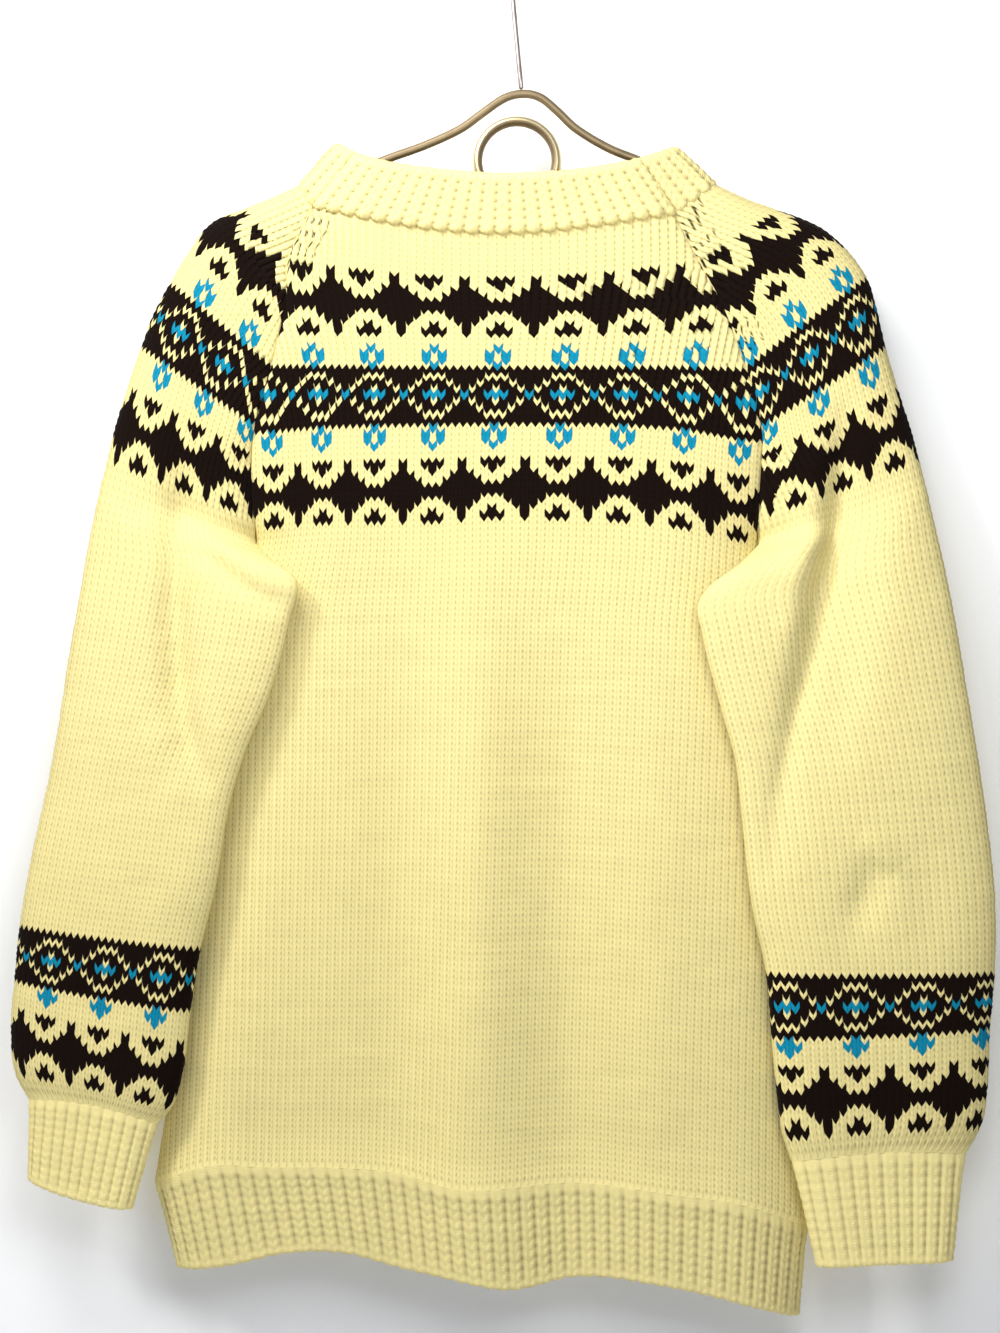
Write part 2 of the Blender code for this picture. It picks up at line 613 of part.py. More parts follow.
def curve_normals(line, down, closed):
    """Unit vectors square to a line and to the direction of the ribs."""
    if closed:
        along = np.roll(line, -1, axis=0) - np.roll(line, 1, axis=0)
    else:
        along = np.gradient(line, axis=0)
    normals = np.cross(along, down)
    return normals / np.linalg.norm(normals, axis=1, keepdims=True)


def hem_rib(body):
    """The rib under one body panel."""
    count = 2 * HEM_RIBS + 1
    top = resample(body.outer[-1], count)
    x_top = top[:, 0]
    share = (x_top - x_top[0]) / (x_top[-1] - x_top[0])
    x = HEM_BOTTOM_LEFT_X + (HEM_BOTTOM_RIGHT_X - HEM_BOTTOM_LEFT_X) * share
    z = np.interp(x_top, [h.x for h in HEM], [h.bottom_z for h in HEM])
    bottom = np.column_stack([x, top[:, 1], z])
    normals = curve_normals(top, bottom - top, closed=False) * body.side
    normals *= np.sign(normals[len(normals) // 2, 1] * body.side)
    normals[0] = (-1.0, 0.0, 0.0)
    normals[-1] = (1.0, 0.0, 0.0)
    set_back = normals * (RIB_GROOVE_WALL + 0.4)
    slope = np.abs(np.gradient(top[:, 2])) / np.linalg.norm(np.gradient(top, axis=0), axis=1)
    top = top - set_back
    bottom = bottom - set_back
    top[:, 2] -= SEAM_GAP + HEM_SLOPE_GAP * slope
    for line in (top, bottom):
        line[:, 1] += body.side * np.where(np.abs(line[:, 1] - SIDE_SEAM_Y) < 1.0, 0.3, 0.0)
    return ribbed_wall(top, bottom, HEM_RIBS, normals, closed=False, scallop=0.6)


def cuff(sleeve, lower):
    """The ribbed cuff under one sleeve."""
    count = 2 * CUFF_RIBS
    top = resample(sleeve.outer[-1][:-1], count, closed=True)
    inner = np.array([lower.inner_x, lower.inner_y, lower.inner_z])
    outer = np.array([lower.outer_x, lower.outer_y, lower.outer_z])
    share = 0.5 * (1 - np.cos(np.linspace(0, math.pi, 120)))[:, None]
    halves = []
    for side in (-1.0, 1.0):
        line = inner + (outer - inner) * share
        rounding = rounded_end(share, 0.2) + rounded_end(1 - share, 0.2)
        line[:, 1:2] += side * lower.half_y * (1 - rounding)
        line[:, 2:3] += lower.middle_rise * 4 * share * (1 - share)
        halves.append(line)
    ring = np.vstack([halves[0], halves[1][::-1][1:-1]])
    bottom = resample(ring, count, closed=True)
    down = bottom - top
    normals = curve_normals(top, down, closed=True)
    if normals[count // 4, 1] > 0:
        normals = -normals
    set_back = normals * (RIB_GROOVE_WALL + 0.4)
    top = top - set_back + SEAM_GAP * down / np.linalg.norm(down, axis=1, keepdims=True)
    return ribbed_wall(top, bottom - set_back, CUFF_RIBS, normals, closed=True, scallop=0.5)


def neckband(front, back, left, right):
    """The folded double rib round the neck, standing on the tops of the four pieces."""
    count = 2 * NECK_RIBS
    loop = np.vstack(
        [front.outer[0], right.outer[0][1:-1], back.outer[0][::-1], left.outer[0][::-1][1:-1]]
    )
    foot = resample(loop, count, closed=True)
    top_path = smooth_path([(n.x, n.y, n.z) for n in NECK_TOP], 12, closed=True)
    start = np.argmin(np.linalg.norm(top_path - foot[0] - np.array([8.0, 3.0, 32.0]), axis=1))
    top = resample(np.roll(top_path, -start, axis=0), count, closed=True)
    rise = top - foot
    height = np.linalg.norm(rise, axis=1, keepdims=True)
    up = rise / height
    normals = curve_normals(foot, rise, closed=True)
    if normals[count // 8, 1] > 0:
        normals = -normals
    ridge = (np.arange(count) % 2).astype(float)[:, None]
    foot = foot + up * (NECK_SEAM_GAP + SCALLOP * (1 - ridge))
    # The folded edge: outer face, rounded top, plain inner face, as shares of the height and
    # of the thickness.
    profile = [(0.0, 0.55), (0.06, 1.0), (0.5, 1.0), (0.88, 0.92), (0.97, 0.6), (1.0, 0.42)]
    profile += [(0.97, 0.12), (0.88, 0.0), (0.0, 0.0)]
    rings = []
    for along, out in profile:
        face = foot + (top - foot) * along
        relief = RIB_RELIEF * (ridge - 0.5) * (1.0 if out > 0.9 else 0.0)
        rings.append(face + normals * (BAND_PROUD - BAND_THICKNESS * (1 - out) + relief))
    builder = bmesh.new()
    points = [[builder.verts.new(p * MM) for p in ring] for ring in rings]
    for a in range(len(points)):
        b = (a + 1) % len(points)
        for k in range(count):
            after = (k + 1) % count
            builder.faces.new((points[a][k], points[a][after], points[b][after], points[b][k]))
    return builder


# -------------------------------------------------------------------------------- hanger


def bar_path(points, steps):
    return smooth_path([(p.x, 0.0, p.z) for p in points], steps)


def bar_x_at(height, left_side):
    """Where the hanger's bar crosses this height."""
    half = [p for p in HANGER_BAR if (p.x < 0) == left_side]
    half.sort(key=lambda p: p.z)
    return float(np.interp(height, [p.z for p in half], [p.x for p in half]))


def hanger_object(finish):
    """The contoured bar and the straight rail across it, joined."""
    bar = add_object("hanger", tube_along(bar_path(HANGER_BAR, 2), BAR_RADIUS, 10), finish)
    height = RING_Z - RING_RADIUS - RING_WIRE_RADIUS - SEAM_GAP - BAR_RADIUS
    left = bar_x_at(height, True) - CROSSBAR_END_OVERLAP
    right = bar_x_at(height, False) + CROSSBAR_END_OVERLAP
    rail_path = [(left, 0.0, height), (0.5 * (left + right), 0.0, height), (right, 0.0, height)]
    rail_builder = tube_along(rail_path, 0.92 * BAR_RADIUS, 10)
    rail = add_object("crossbar_tool", rail_builder, finish)
    rail.hide_render = True
    rail.display_type = "WIRE"
    join = bar.modifiers.new("crossbar", "BOOLEAN")
    join.operation = "UNION"
    join.object = rail
    return bar


def ring_builder():
    """The round ring that stands on the crossbar under the apex."""
    builder = bmesh.new()
    around, sides = 40, 10
    rings = []
    for i in range(around):
        turn = 2 * math.pi * i / around
        ring = []
        for k in range(sides):
            angle = 2 * math.pi * (k + 0.5) / sides
            reach = RING_RADIUS + RING_WIRE_RADIUS * math.cos(angle)
            x = RING_X + reach * math.sin(turn)
            z = RING_Z + reach * math.cos(turn)
            ring.append(builder.verts.new((x * MM, RING_WIRE_RADIUS * math.sin(angle) * MM, z * MM)))
        rings.append(ring)
    for i in range(around):
        ring, following = rings[i], rings[(i + 1) % around]
        for k in range(sides):
            after = (k + 1) % sides
            builder.faces.new((ring[k], ring[after], following[after], following[k]))
    return builder


def hook_builder():
    """The steel wire: a stem up from the apex, a bend aside and a round hook over it."""
    apex_z = max(p.z for p in HANGER_BAR) + BAR_RADIUS
    route = [(STEM_FOOT_X, 0.0, apex_z + SEAM_GAP)]
    route += [(p.x, 0.0, p.z) for p in STEM_BEND]
    centre_z = -(HOOK_RADIUS - WIRE_RADIUS)
    for angle in np.radians(np.linspace(HOOK_START_DEG, HOOK_END_DEG, 11)):
        route.append(
            (HOOK_RADIUS * math.cos(angle), 0.0, centre_z + HOOK_RADIUS * math.sin(angle))
        )
    return tube_along(smooth_path(route, 3), WIRE_RADIUS, 8)


def main():
    clear_scene()
    knit = material("knit_yellow", (0.86, 0.8, 0.5), 0.9)
    rib = material("knit_rib_yellow", (0.84, 0.77, 0.46), 0.9)
    bronze = material("hanger_bronze", (0.42, 0.32, 0.17), 0.35, 1.0)
    steel = material("hook_steel", (0.62, 0.62, 0.6), 0.3, 1.0)

    front, back = Body(-1), Body(1)
    left = SleeveShape(SLEEVE_LEFT, RAGLAN_LEFT, 1.0, SLEEVE_END_RISE_LEFT)
    right = SleeveShape(SLEEVE_RIGHT, RAGLAN_RIGHT, -1.0, SLEEVE_END_RISE_RIGHT)
    add_object("front", front.build(), knit)
    add_object("back", back.build(), knit)
    add_object("sleeve_left", left.build(), knit)
    add_object("sleeve_right", right.build(), knit)
    add_object("neckband", neckband(front, back, left, right), rib)
    add_object("hem_rib_front", hem_rib(front), rib)
    add_object("hem_rib_back", hem_rib(back), rib)
    add_object("cuff_left", cuff(left, CUFF_LEFT), rib)
    add_object("cuff_right", cuff(right, CUFF_RIGHT), rib)
    hanger_object(bronze)
    add_object("hanger_ring", ring_builder(), bronze)
    add_object("hanger_hook", hook_builder(), steel)


main()
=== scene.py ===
"""The looks of a hand-knitted fair isle jumper that hangs on a slim metal hanger.

Every stitch of the jumper is a small V of real relief, laid in rows and wales over the form of
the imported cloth. The yoke and cuff bands are coloured from a chart of eight-stitch repeats.
Tables are in millimetres, and knit rows count down from the front neck.
"""

import logging
import math
from dataclasses import dataclass, field
from enum import Enum, IntEnum
from typing import Any, Callable, Mapping, NamedTuple, Sequence

import bmesh
import bpy
import numpy as np
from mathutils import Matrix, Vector

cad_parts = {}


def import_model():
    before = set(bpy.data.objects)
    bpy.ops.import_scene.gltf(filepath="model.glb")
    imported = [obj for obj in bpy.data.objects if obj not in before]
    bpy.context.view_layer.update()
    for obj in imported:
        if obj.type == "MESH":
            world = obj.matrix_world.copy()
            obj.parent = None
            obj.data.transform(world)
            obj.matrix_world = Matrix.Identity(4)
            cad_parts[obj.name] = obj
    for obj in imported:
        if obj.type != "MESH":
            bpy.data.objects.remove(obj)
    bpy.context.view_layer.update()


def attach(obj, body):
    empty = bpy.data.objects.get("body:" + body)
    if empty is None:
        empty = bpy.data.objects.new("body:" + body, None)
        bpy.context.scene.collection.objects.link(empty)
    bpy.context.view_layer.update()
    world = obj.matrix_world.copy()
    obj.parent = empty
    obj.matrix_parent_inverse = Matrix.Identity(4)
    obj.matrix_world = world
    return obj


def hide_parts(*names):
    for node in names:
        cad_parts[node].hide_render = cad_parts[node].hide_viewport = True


LOG = logging.getLogger("jumper")
MM = 0.001
WELD = 0.01 * MM
ROOT = "root"
Array = np.ndarray
Pair = tuple[float, float]
Triple = tuple[float, float, float]

STITCH_WIDTH = 4.9
HEM_ROW = 159
SLEEVE_END_ROW = 145
UNDERARM_ROW = 53


# ---- yarn and finishes ----


class Yarn(Enum):
    """The three yarns, each with its colour and its letter in the charts."""

    YELLOW = ("Y", (0.86, 0.745, 0.335))
    BROWN = ("B", (0.0075, 0.0032, 0.0018))
    TEAL = ("T", (0.005, 0.245, 0.40))

    @property
    def letter(self) -> str:
        """The chart letter."""
        return self.value[0]

    @property
    def colour(self) -> Triple:
        """The linear colour."""
        return self.value[1]


@dataclass(frozen=True)
class KnitFinish:
    """Matte, faintly hairy yarn whose colour comes from the piece's own colour attribute.

    The colour is painted darker as shade in the furrows between the legs of yarn, by groove, in
    openwork, and over a whole piece by a tone.
    """

    name: str
    # The next four fields set painted shade: over the whole piece, in the furrows and how fast it
    # falls off there, and in openwork.
    tone: float = 1.0
    groove: float = 0.52
    groove_shade_power: float = 2.4
    hole_shade: float = 0.75
    unevenness: float = 0.10
    dye_scale: float = 60.0
    fibre_scale: float = 2600.0
    fibre_shades: Pair = (0.93, 0.10)
    ply_turns: Pair = (14.0, 22.0)
    fibre_height: float = 0.6
    ply_height: float = 0.25
    bump_depth: float = 0.00035
    bump: float = 0.7
    roughness: float = 0.88
    specular: float = 0.06
    sheen: float = 0.02
    sheen_roughness: float = 0.45


@dataclass(frozen=True)
class MetalFinish:
    """Satin metal with fine brushing and small stains."""

    name: str
    colour: Triple
    stain: Triple
    roughness: float
    metallic: float
    stain_scale: float = 90.0
    stain_power: float = 3.0
    stain_gain: float = 1.6
    gloss_scale: float = 400.0
    gloss_change: float = 0.12
    brushing_scale: float = 3000.0
    brushing_depth: float = 0.00004
    brushing: float = 0.4


@dataclass(frozen=True)
class PlainFinish:
    """Painted backdrop with a faint mottle."""

    name: str
    colour: Triple
    roughness: float
    mottle_scale: float = 3.0
    mottle_shades: Pair = (0.97, 0.05)


Finish = KnitFinish | MetalFinish | PlainFinish


# ---- node helpers ----


class Signal:
    """A value socket that takes part in Python expressions, each adding a Math node."""

    def __init__(self, graph: "NodeGraph", socket: bpy.types.NodeSocket) -> None:
        """Wraps a socket of the graph."""
        self.graph = graph
        self.socket = socket

    def _math(self, operation: str, *operands: Any) -> "Signal":
        """Adds a Math node.

        Args:
            operation: Blender's name of the operation.
            operands: numbers or signals, in the order of the node's sockets.

        Returns:
            The result.
        """
        values = dict(enumerate(operands))
        return self.graph.signal(self.graph.add("ShaderNodeMath", {"operation": operation}, values))

    def __add__(self, other: Any) -> "Signal":
        """self + other"""
        return self._math("ADD", self, other)

    __radd__ = __add__

    def __sub__(self, other: Any) -> "Signal":
        """self - other"""
        return self._math("SUBTRACT", self, other)

    def __rsub__(self, other: Any) -> "Signal":
        """other - self"""
        return self._math("SUBTRACT", other, self)

    def __mul__(self, other: Any) -> "Signal":
        """self * other"""
        return self._math("MULTIPLY", self, other)

    __rmul__ = __mul__

    def sine(self) -> "Signal":
        """The sine."""
        return self._math("SINE", self)

    def power(self, exponent: float) -> "Signal":
        """self to the exponent."""
        return self._math("POWER", self, exponent)

    def clamped(self) -> "Signal":
        """Limited to 0..1."""
        return self._math("MINIMUM", self._math("MAXIMUM", self, 0.0), 1.0)


class NodeGraph:
    """Adds and links nodes of one shader or geometry tree."""

    def __init__(self, tree: bpy.types.NodeTree) -> None:
        """Wraps the tree."""
        self.tree = tree

    def add(
        self,
        kind: str,
        settings: Mapping[str, Any] | None = None,
        values: Mapping[Any, Any] | None = None,
    ) -> bpy.types.Node:
        """Adds one node.

        Args:
            kind: the node's type.
            settings: its properties, which are set first.
            values: its inputs, as feed takes them.

        Returns:
            The node.
        """
        node = self.tree.nodes.new(kind)
        for name, value in (settings or {}).items():
            setattr(node, name, value)
        self.feed(node, values or {})
        return node

    def feed(self, node: bpy.types.Node, values: Mapping[Any, Any]) -> None:
        """Sets or links some of a node's inputs.

        Args:
            node: the node.
            values: for each input, by name or number, a value, a socket or a signal.
        """
        for key, value in values.items():
            socket = node.inputs[key]
            if isinstance(value, Signal):
                value = value.socket
            if isinstance(value, bpy.types.NodeSocket):
                self.tree.links.new(value, socket)
            else:
                socket.default_value = value

    def signal(self, node: bpy.types.Node, output: Any = 0) -> Signal:
        """The node's output as a signal."""
        return Signal(self, node.outputs[output])

    def noise(self, vector: Any, scale: float, detail: float = 2.0) -> Signal:
        """A noise of this scale over the vector."""
        values = {"Vector": vector, "Scale": scale, "Detail": detail}
        return self.signal(self.add("ShaderNodeTexNoise", {}, values))

    def shaded(self, colour: Any, shade: Signal) -> bpy.types.NodeSocket:
        """A colour times a shade of grey.

        Args:
            colour: the colour or its socket.
            shade: the shade, where 1 changes nothing.

        Returns:
            The shaded colour.
        """
        grey = self.add("ShaderNodeCombineColor", {}, {0: shade, 1: shade, 2: shade})
        settings = {"data_type": "RGBA", "blend_type": "MULTIPLY"}
        values = {"Factor": 1.0, 6: colour, 7: grey.outputs[0]}
        return self.add("ShaderNodeMix", settings, values).outputs[2]

    def bump(self, strength: float, depth: float, height: Signal) -> bpy.types.NodeSocket:
        """The normal over a height from 0 to 1 that is so deep."""
        values = {"Strength": strength, "Distance": depth, "Height": height}
        return self.add("ShaderNodeBump", {}, values).outputs[0]


def new_material(name: str) -> tuple[bpy.types.Material, NodeGraph, bpy.types.Node]:
    """A material with an empty Principled shader.

    Args:
        name: the material's name.

    Returns:
        The material, its graph and its Principled node.
    """
    material = bpy.data.materials.new(name)
    material.use_nodes = True
    shader = material.node_tree.nodes["Principled BSDF"]
    return material, NodeGraph(material.node_tree), shader


class Wardrobe:
    """Makes each finish's material once."""

    def __init__(self) -> None:
        """Starts empty."""
        self.made: dict[str, bpy.types.Material] = {}

    def of(self, finish: Finish) -> bpy.types.Material:
        """The material of a finish.

        Args:
            finish: the finish.

        Returns:
            Its material, made when it is first asked for.
        """
        makers = {KnitFinish: self._knit, MetalFinish: self._metal, PlainFinish: self._plain}
        if finish.name not in self.made:
            self.made[finish.name] = makers[type(finish)](finish)
        return self.made[finish.name]

    def _knit(self, finish: KnitFinish) -> bpy.types.Material:
        """Yarn: charted colour, painted shade in furrows and openwork, uneven dye, ply twist and
        loose fibre.

        Args:
            finish: the finish.

        Returns:
            Its material.
        """
        material, graph, shader = new_material(finish.name)
        place = graph.add("ShaderNodeTexCoord").outputs["Object"]
        yarn = graph.add("ShaderNodeAttribute", {"attribute_name": "yarn"}).outputs["Color"]
        lift = graph.signal(graph.add("ShaderNodeAttribute", {"attribute_name": "lift"}), "Fac")
        wales = graph.add("ShaderNodeUVMap").outputs[0]
        strand = graph.add("ShaderNodeSeparateXYZ", {}, {0: wales})
        across, down = (graph.signal(strand, k) * turns for k, turns in enumerate(finish.ply_turns))
        ply = (across + down).sine()
        dye = graph.noise(place, finish.dye_scale, 3.0)
        fibre = graph.noise(place, finish.fibre_scale, 3.0)
        # Painted shade: the colour darkens where the lift attribute is low, in the furrows and most
        # in openwork, and by the tone over the whole piece.
        groove = (1.0 - lift.clamped()).power(finish.groove_shade_power) * finish.groove
        groove = groove + (0.0 - lift).clamped() * finish.hole_shade
        shade = finish.tone * (1.0 - finish.unevenness * (1.0 - dye) - groove)
        shade = shade * (finish.fibre_shades[0] + finish.fibre_shades[1] * fibre)
        height = fibre * finish.fibre_height + ply * finish.ply_height
        values = {
            "Base Color": graph.shaded(yarn, shade),
            "Normal": graph.bump(finish.bump, finish.bump_depth, height),
            "Roughness": finish.roughness,
            "Specular IOR Level": finish.specular,
            "Sheen Weight": finish.sheen,
            "Sheen Roughness": finish.sheen_roughness,
        }
        graph.feed(shader, values)
        return material

    def _metal(self, finish: MetalFinish) -> bpy.types.Material:
        """Metal: stained colour, uneven gloss and fine brushing.

        Args:
            finish: the finish.

        Returns:
            Its material.
        """
        material, graph, shader = new_material(finish.name)
        place = graph.add("ShaderNodeTexCoord").outputs["Object"]
        stained = graph.noise(place, finish.stain_scale, 4.0).power(finish.stain_power)
        stained = (stained * finish.stain_gain).clamped()
        colours = {"Factor": stained, 6: (*finish.colour, 1.0), 7: (*finish.stain, 1.0)}
        gloss = finish.gloss_change * graph.noise(place, finish.gloss_scale)
        brushing = graph.noise(place, finish.brushing_scale)
        values = {
            "Base Color": graph.add("ShaderNodeMix", {"data_type": "RGBA"}, colours).outputs[2],
            "Roughness": finish.roughness + gloss,
            "Normal": graph.bump(finish.brushing, finish.brushing_depth, brushing),
            "Metallic": finish.metallic,
        }
        graph.feed(shader, values)
        return material

    def _plain(self, finish: PlainFinish) -> bpy.types.Material:
        """Paint with a faint mottle, clear from behind so that it hides nothing.

        Args:
            finish: the finish.

        Returns:
            Its material.
        """
        material, graph, shader = new_material(finish.name)
        place = graph.add("ShaderNodeTexCoord").outputs["Object"]
        mottle = finish.mottle_shades[1] * graph.noise(place, finish.mottle_scale)
        colour = graph.shaded((*finish.colour, 1.0), finish.mottle_shades[0] + mottle)
        graph.feed(shader, {"Base Color": colour, "Roughness": finish.roughness})
        facing = graph.add("ShaderNodeNewGeometry").outputs["Backfacing"]
        clear = graph.add("ShaderNodeBsdfTransparent").outputs[0]
        mixed = graph.add("ShaderNodeMixShader", {}, {0: facing, 1: shader.outputs[0], 2: clear})
        graph.feed(material.node_tree.nodes["Material Output"], {"Surface": mixed.outputs[0]})
        return material


# ---- geometry helpers ----


def smooth_path(points: Sequence[Sequence[float]], steps: int, closed: bool = False) -> Array:
    """A Catmull-Rom curve through the points.

    Args:
        points: the places it passes.
        steps: how many steps it takes from one to the next.
        closed: whether it returns to its start.

    Returns:
        The curve's points.
    """
    points = np.asarray(points, float)
    if closed:
        padded = np.vstack([points[-1], points, points[:2]])
        spans = len(points)
    else:
        padded = np.vstack([2 * points[0] - points[1], points, 2 * points[-1] - points[-2]])
        spans = len(points) - 1
    curve = []
    for span in range(spans):
        a, b, c, d = padded[span : span + 4]
        for t in np.arange(steps) / steps:
            bend = (2 * a - 5 * b + 4 * c - d) * t**2 + (3 * b - a - 3 * c + d) * t**3
            curve.append(0.5 * (2 * b + (c - a) * t + bend))
    if not closed:
        curve.append(points[-1])
    return np.array(curve)


def lengths_along(path: Array) -> Array:
    """The distance from the path's start to each of its points."""
    steps = np.linalg.norm(np.diff(path, axis=0), axis=1)
    return np.concatenate([[0.0], np.cumsum(steps)])


def resample(path: Array, count: int, closed: bool = False) -> Array:
    """A path's points at even distances.

    Args:
        path: the path.
        count: how many points are wanted.
        closed: whether it returns to its start, which is then not repeated.

    Returns:
        The points.
    """
    path = np.vstack([path, path[0]]) if closed else np.asarray(path, float)
    along = lengths_along(path)
    places = np.linspace(0.0, along[-1], count + 1 if closed else count)
    places = places[:-1] if closed else places
    return np.column_stack([np.interp(places, along, path[:, k]) for k in range(3)])


def cosine_steps(count: int) -> Array:
    """Shares from 0 to 1 that lie closer together at both ends."""
    return 0.5 * (1 - np.cos(np.linspace(0, math.pi, count)))


def rounded_end(distance: Array, reach: float) -> Array:
    """1 at an edge where the cloth turns, falling to 0 like a quarter ellipse."""
    left = np.clip(1.0 - distance / reach, 0.0, 1.0)
    return 1.0 - np.sqrt(1.0 - left**2)


def cell_corners(grid: Array) -> Array:
    """The values at the four corners of each cell of a grid, in turn."""
    return np.stack([grid[:-1, :-1], grid[:-1, 1:], grid[1:, 1:], grid[1:, :-1]], axis=-1)


def eased(rows: Sequence[float], values: Array, wanted: Array) -> Array:
    """Smooth values between rows, along the first axis.

    Args:
        rows: the rows at which the values are given.
        values: the values there.
        wanted: the rows that are wanted.

    Returns:
        The values at the wanted rows.
    """
    rows = np.asarray(rows, float)
    slopes = np.gradient(values, rows, axis=0)
    index = np.clip(np.searchsorted(rows, wanted, side="right") - 1, 0, len(rows) - 2)
    step = rows[index + 1] - rows[index]
    shape = (-1,) + (1,) * (values.ndim - 1)
    t = ((wanted - rows[index]) / step).reshape(shape)
    step = step.reshape(shape)
    start, end = values[index], values[index + 1]
    return (
        (2 * t**3 - 3 * t**2 + 1) * start
        + (t**3 - 2 * t**2 + t) * step * slopes[index]
        + (3 * t**2 - 2 * t**3) * end
        + (t**3 - t**2) * step * slopes[index + 1]
    )


def add_object(name: str, data: bpy.types.ID) -> bpy.types.Object:
    """A new object of the scene.

    Args:
        name: its name.
        data: its mesh, light or camera.

    Returns:
        The object.
    """
    made = bpy.data.objects.new(name, data)
    bpy.context.scene.collection.objects.link(made)
    return made


def mesh_object(name: str, points: Array, faces: Sequence[Sequence[int]]) -> bpy.types.Object:
    """An object from points in millimetres and faces.

    Args:
        name: the object's name.
        points: an array of points.
        faces: for each face, its points' numbers.

    Returns:
        The object, shaded smooth.
    """
    mesh = bpy.data.meshes.new(name)
    mesh.from_pydata((np.asarray(points) * MM).tolist(), [], faces)
    mesh.shade_smooth()
    return add_object(name, mesh)


# ---- the cloth's form ----


class Side(IntEnum):
    """The front or the back of the jumper, by the way it faces along Y."""

    FRONT = -1
    BACK = 1


class Raglan(NamedTuple):
    """Where a body row and a sleeve row meet at a raglan seam, front and back."""

    row: int
    front_x: float
    front_z: float
    back_x: float
    back_z: float
    centre_y: float
    half_y: float


class Yoke(NamedTuple):
    """The middle of a body row above the underarm."""

    row: int
    front_z: float
    back_z: float
    front_y: float
    back_y: float


class Hem(NamedTuple):
    """One wave of the hem: the rib's start and edge, and how far the cloth swings there."""

    x: float
    top_z: float
    bottom_z: float
    front_swing: float
    back_swing: float


class Section(NamedTuple):
    """One section of a sleeve: its outer edge, half thicknesses, inner edge and soft fold.

    In the cap the raglan gives the inner edge. fold_at is a share of the width from there.
    """

    row: int
    outer_x: float
    outer_z: float
    outer_y: float
    inner_half: float
    outer_half: float
    inner: Triple | None = None
    fold_at: float = 0.5
    fold: float = 0.0


RAGLAN_LEFT = [
    Raglan(0, -130.6, -187.0, -124.0, -174.5, -1.0, 13.0),
    Raglan(4, -140.0, -203.5, -136.0, -200.0, -1.5, 14.5),
    Raglan(9, -148.8, -224.5, -144.0, -224.5, -2.0, 15.0),
    Raglan(14, -149.0, -248.9, -150.0, -248.9, -2.0, 15.0),
    Raglan(19, -153.9, -270.0, -156.0, -270.0, -2.0, 15.0),
    Raglan(25, -159.1, -292.0, -161.0, -292.0, -2.0, 14.5),
    Raglan(30, -165.0, -311.6, -164.5, -311.6, -2.0, 14.0),
    Raglan(34, -170.0, -331.0, -167.0, -331.0, -2.2, 12.5),
    Raglan(40, -172.5, -352.4, -169.0, -352.4, -2.4, 10.5),
    Raglan(45, -172.5, -373.0, -170.0, -373.0, -2.4, 8.0),
    Raglan(50, -170.6, -393.0, -170.2, -393.0, -1.8, 4.5),
    Raglan(53, -169.8, -405.0, -169.8, -405.0, -1.0, 0.0),
]
RAGLAN_RIGHT = [
    Raglan(0, 98.5, -191.0, 106.0, -175.5, -1.0, 13.0),
    Raglan(4, 107.4, -208.5, 117.0, -201.0, -1.5, 14.5),
    Raglan(9, 116.2, -225.6, 125.0, -225.6, -2.0, 15.0),
    Raglan(14, 129.0, -248.5, 132.0, -249.5, -2.0, 15.0),
    Raglan(19, 136.7, -267.4, 138.0, -268.0, -2.0, 15.0),
    Raglan(25, 146.3, -292.6, 144.0, -292.6, -2.0, 14.5),
    Raglan(30, 152.6, -312.5, 148.0, -312.5, -2.0, 14.0),
    Raglan(34, 156.0, -332.0, 150.5, -332.0, -2.2, 12.5),
    Raglan(40, 156.0, -353.0, 152.5, -353.0, -2.4, 10.5),
    Raglan(45, 155.2, -373.0, 153.3, -373.0, -2.4, 8.0),
    Raglan(50, 154.5, -393.5, 153.8, -393.5, -1.8, 4.5),
    Raglan(53, 153.9, -406.0, 153.9, -406.0, -1.0, 0.0),
]
YOKE = [
    Yoke(0, -204.5, -197.0, -23.0, 16.0),
    Yoke(4, -219.0, -216.0, -22.5, 16.0),
    Yoke(9, -236.3, -236.0, -22.0, 16.0),
    Yoke(14, -254.0, -254.0, -21.5, 15.5),
    Yoke(19, -272.3, -272.3, -21.5, 15.5),
    Yoke(25, -293.3, -293.3, -21.0, 15.0),
    Yoke(30, -312.0, -312.0, -21.0, 15.0),
    Yoke(34, -328.8, -328.8, -21.0, 15.0),
    Yoke(40, -351.0, -351.0, -21.0, 15.0),
    Yoke(45, -370.0, -370.0, -21.0, 15.0),
    Yoke(50, -389.0, -389.0, -21.0, 15.0),
    Yoke(53, -401.0, -401.0, -21.0, 15.0),
]
# How finely a section is drawn before its points are spaced evenly.
BODY_POINTS = 300
SLEEVE_POINTS = 200
NECK_CURVE_POWER = 1.8
SIDE_SEAM_Y = -1.0
# How far the front and the back curve in towards their side seams.
SIDE_REACH = 58.0
LOWER_ROWS = [58, 66, 78, 92, 106, 120, 134, 147, 153, 156, 159]
HEM = [
    Hem(-236.0, -817.8, -872.9, 0.0, 0.0),
    Hem(-198.0, -802.5, -866.0, -2.0, 1.0),
    Hem(-160.0, -804.0, -858.7, 1.5, -1.5),
    Hem(-122.0, -804.6, -858.9, 3.5, -2.5),
    Hem(-82.0, -807.5, -869.0, 2.0, 1.5),
    Hem(-37.0, -816.8, -876.6, -3.0, 2.5),
    Hem(-11.0, -816.0, -880.3, -4.0, 0.5),
    Hem(37.0, -814.4, -874.3, 2.5, -2.0),
    Hem(98.0, -820.8, -879.8, -0.5, 1.0),
    Hem(146.0, -828.2, -890.5, -2.5, 1.5),
    Hem(187.6, -845.7, -904.0, 0.0, 0.0),
]
HEM_BOTTOM_X = (-222.0, 182.5)
HEM_MIDDLE_Y = {Side.FRONT: -21.0, Side.BACK: 14.0}
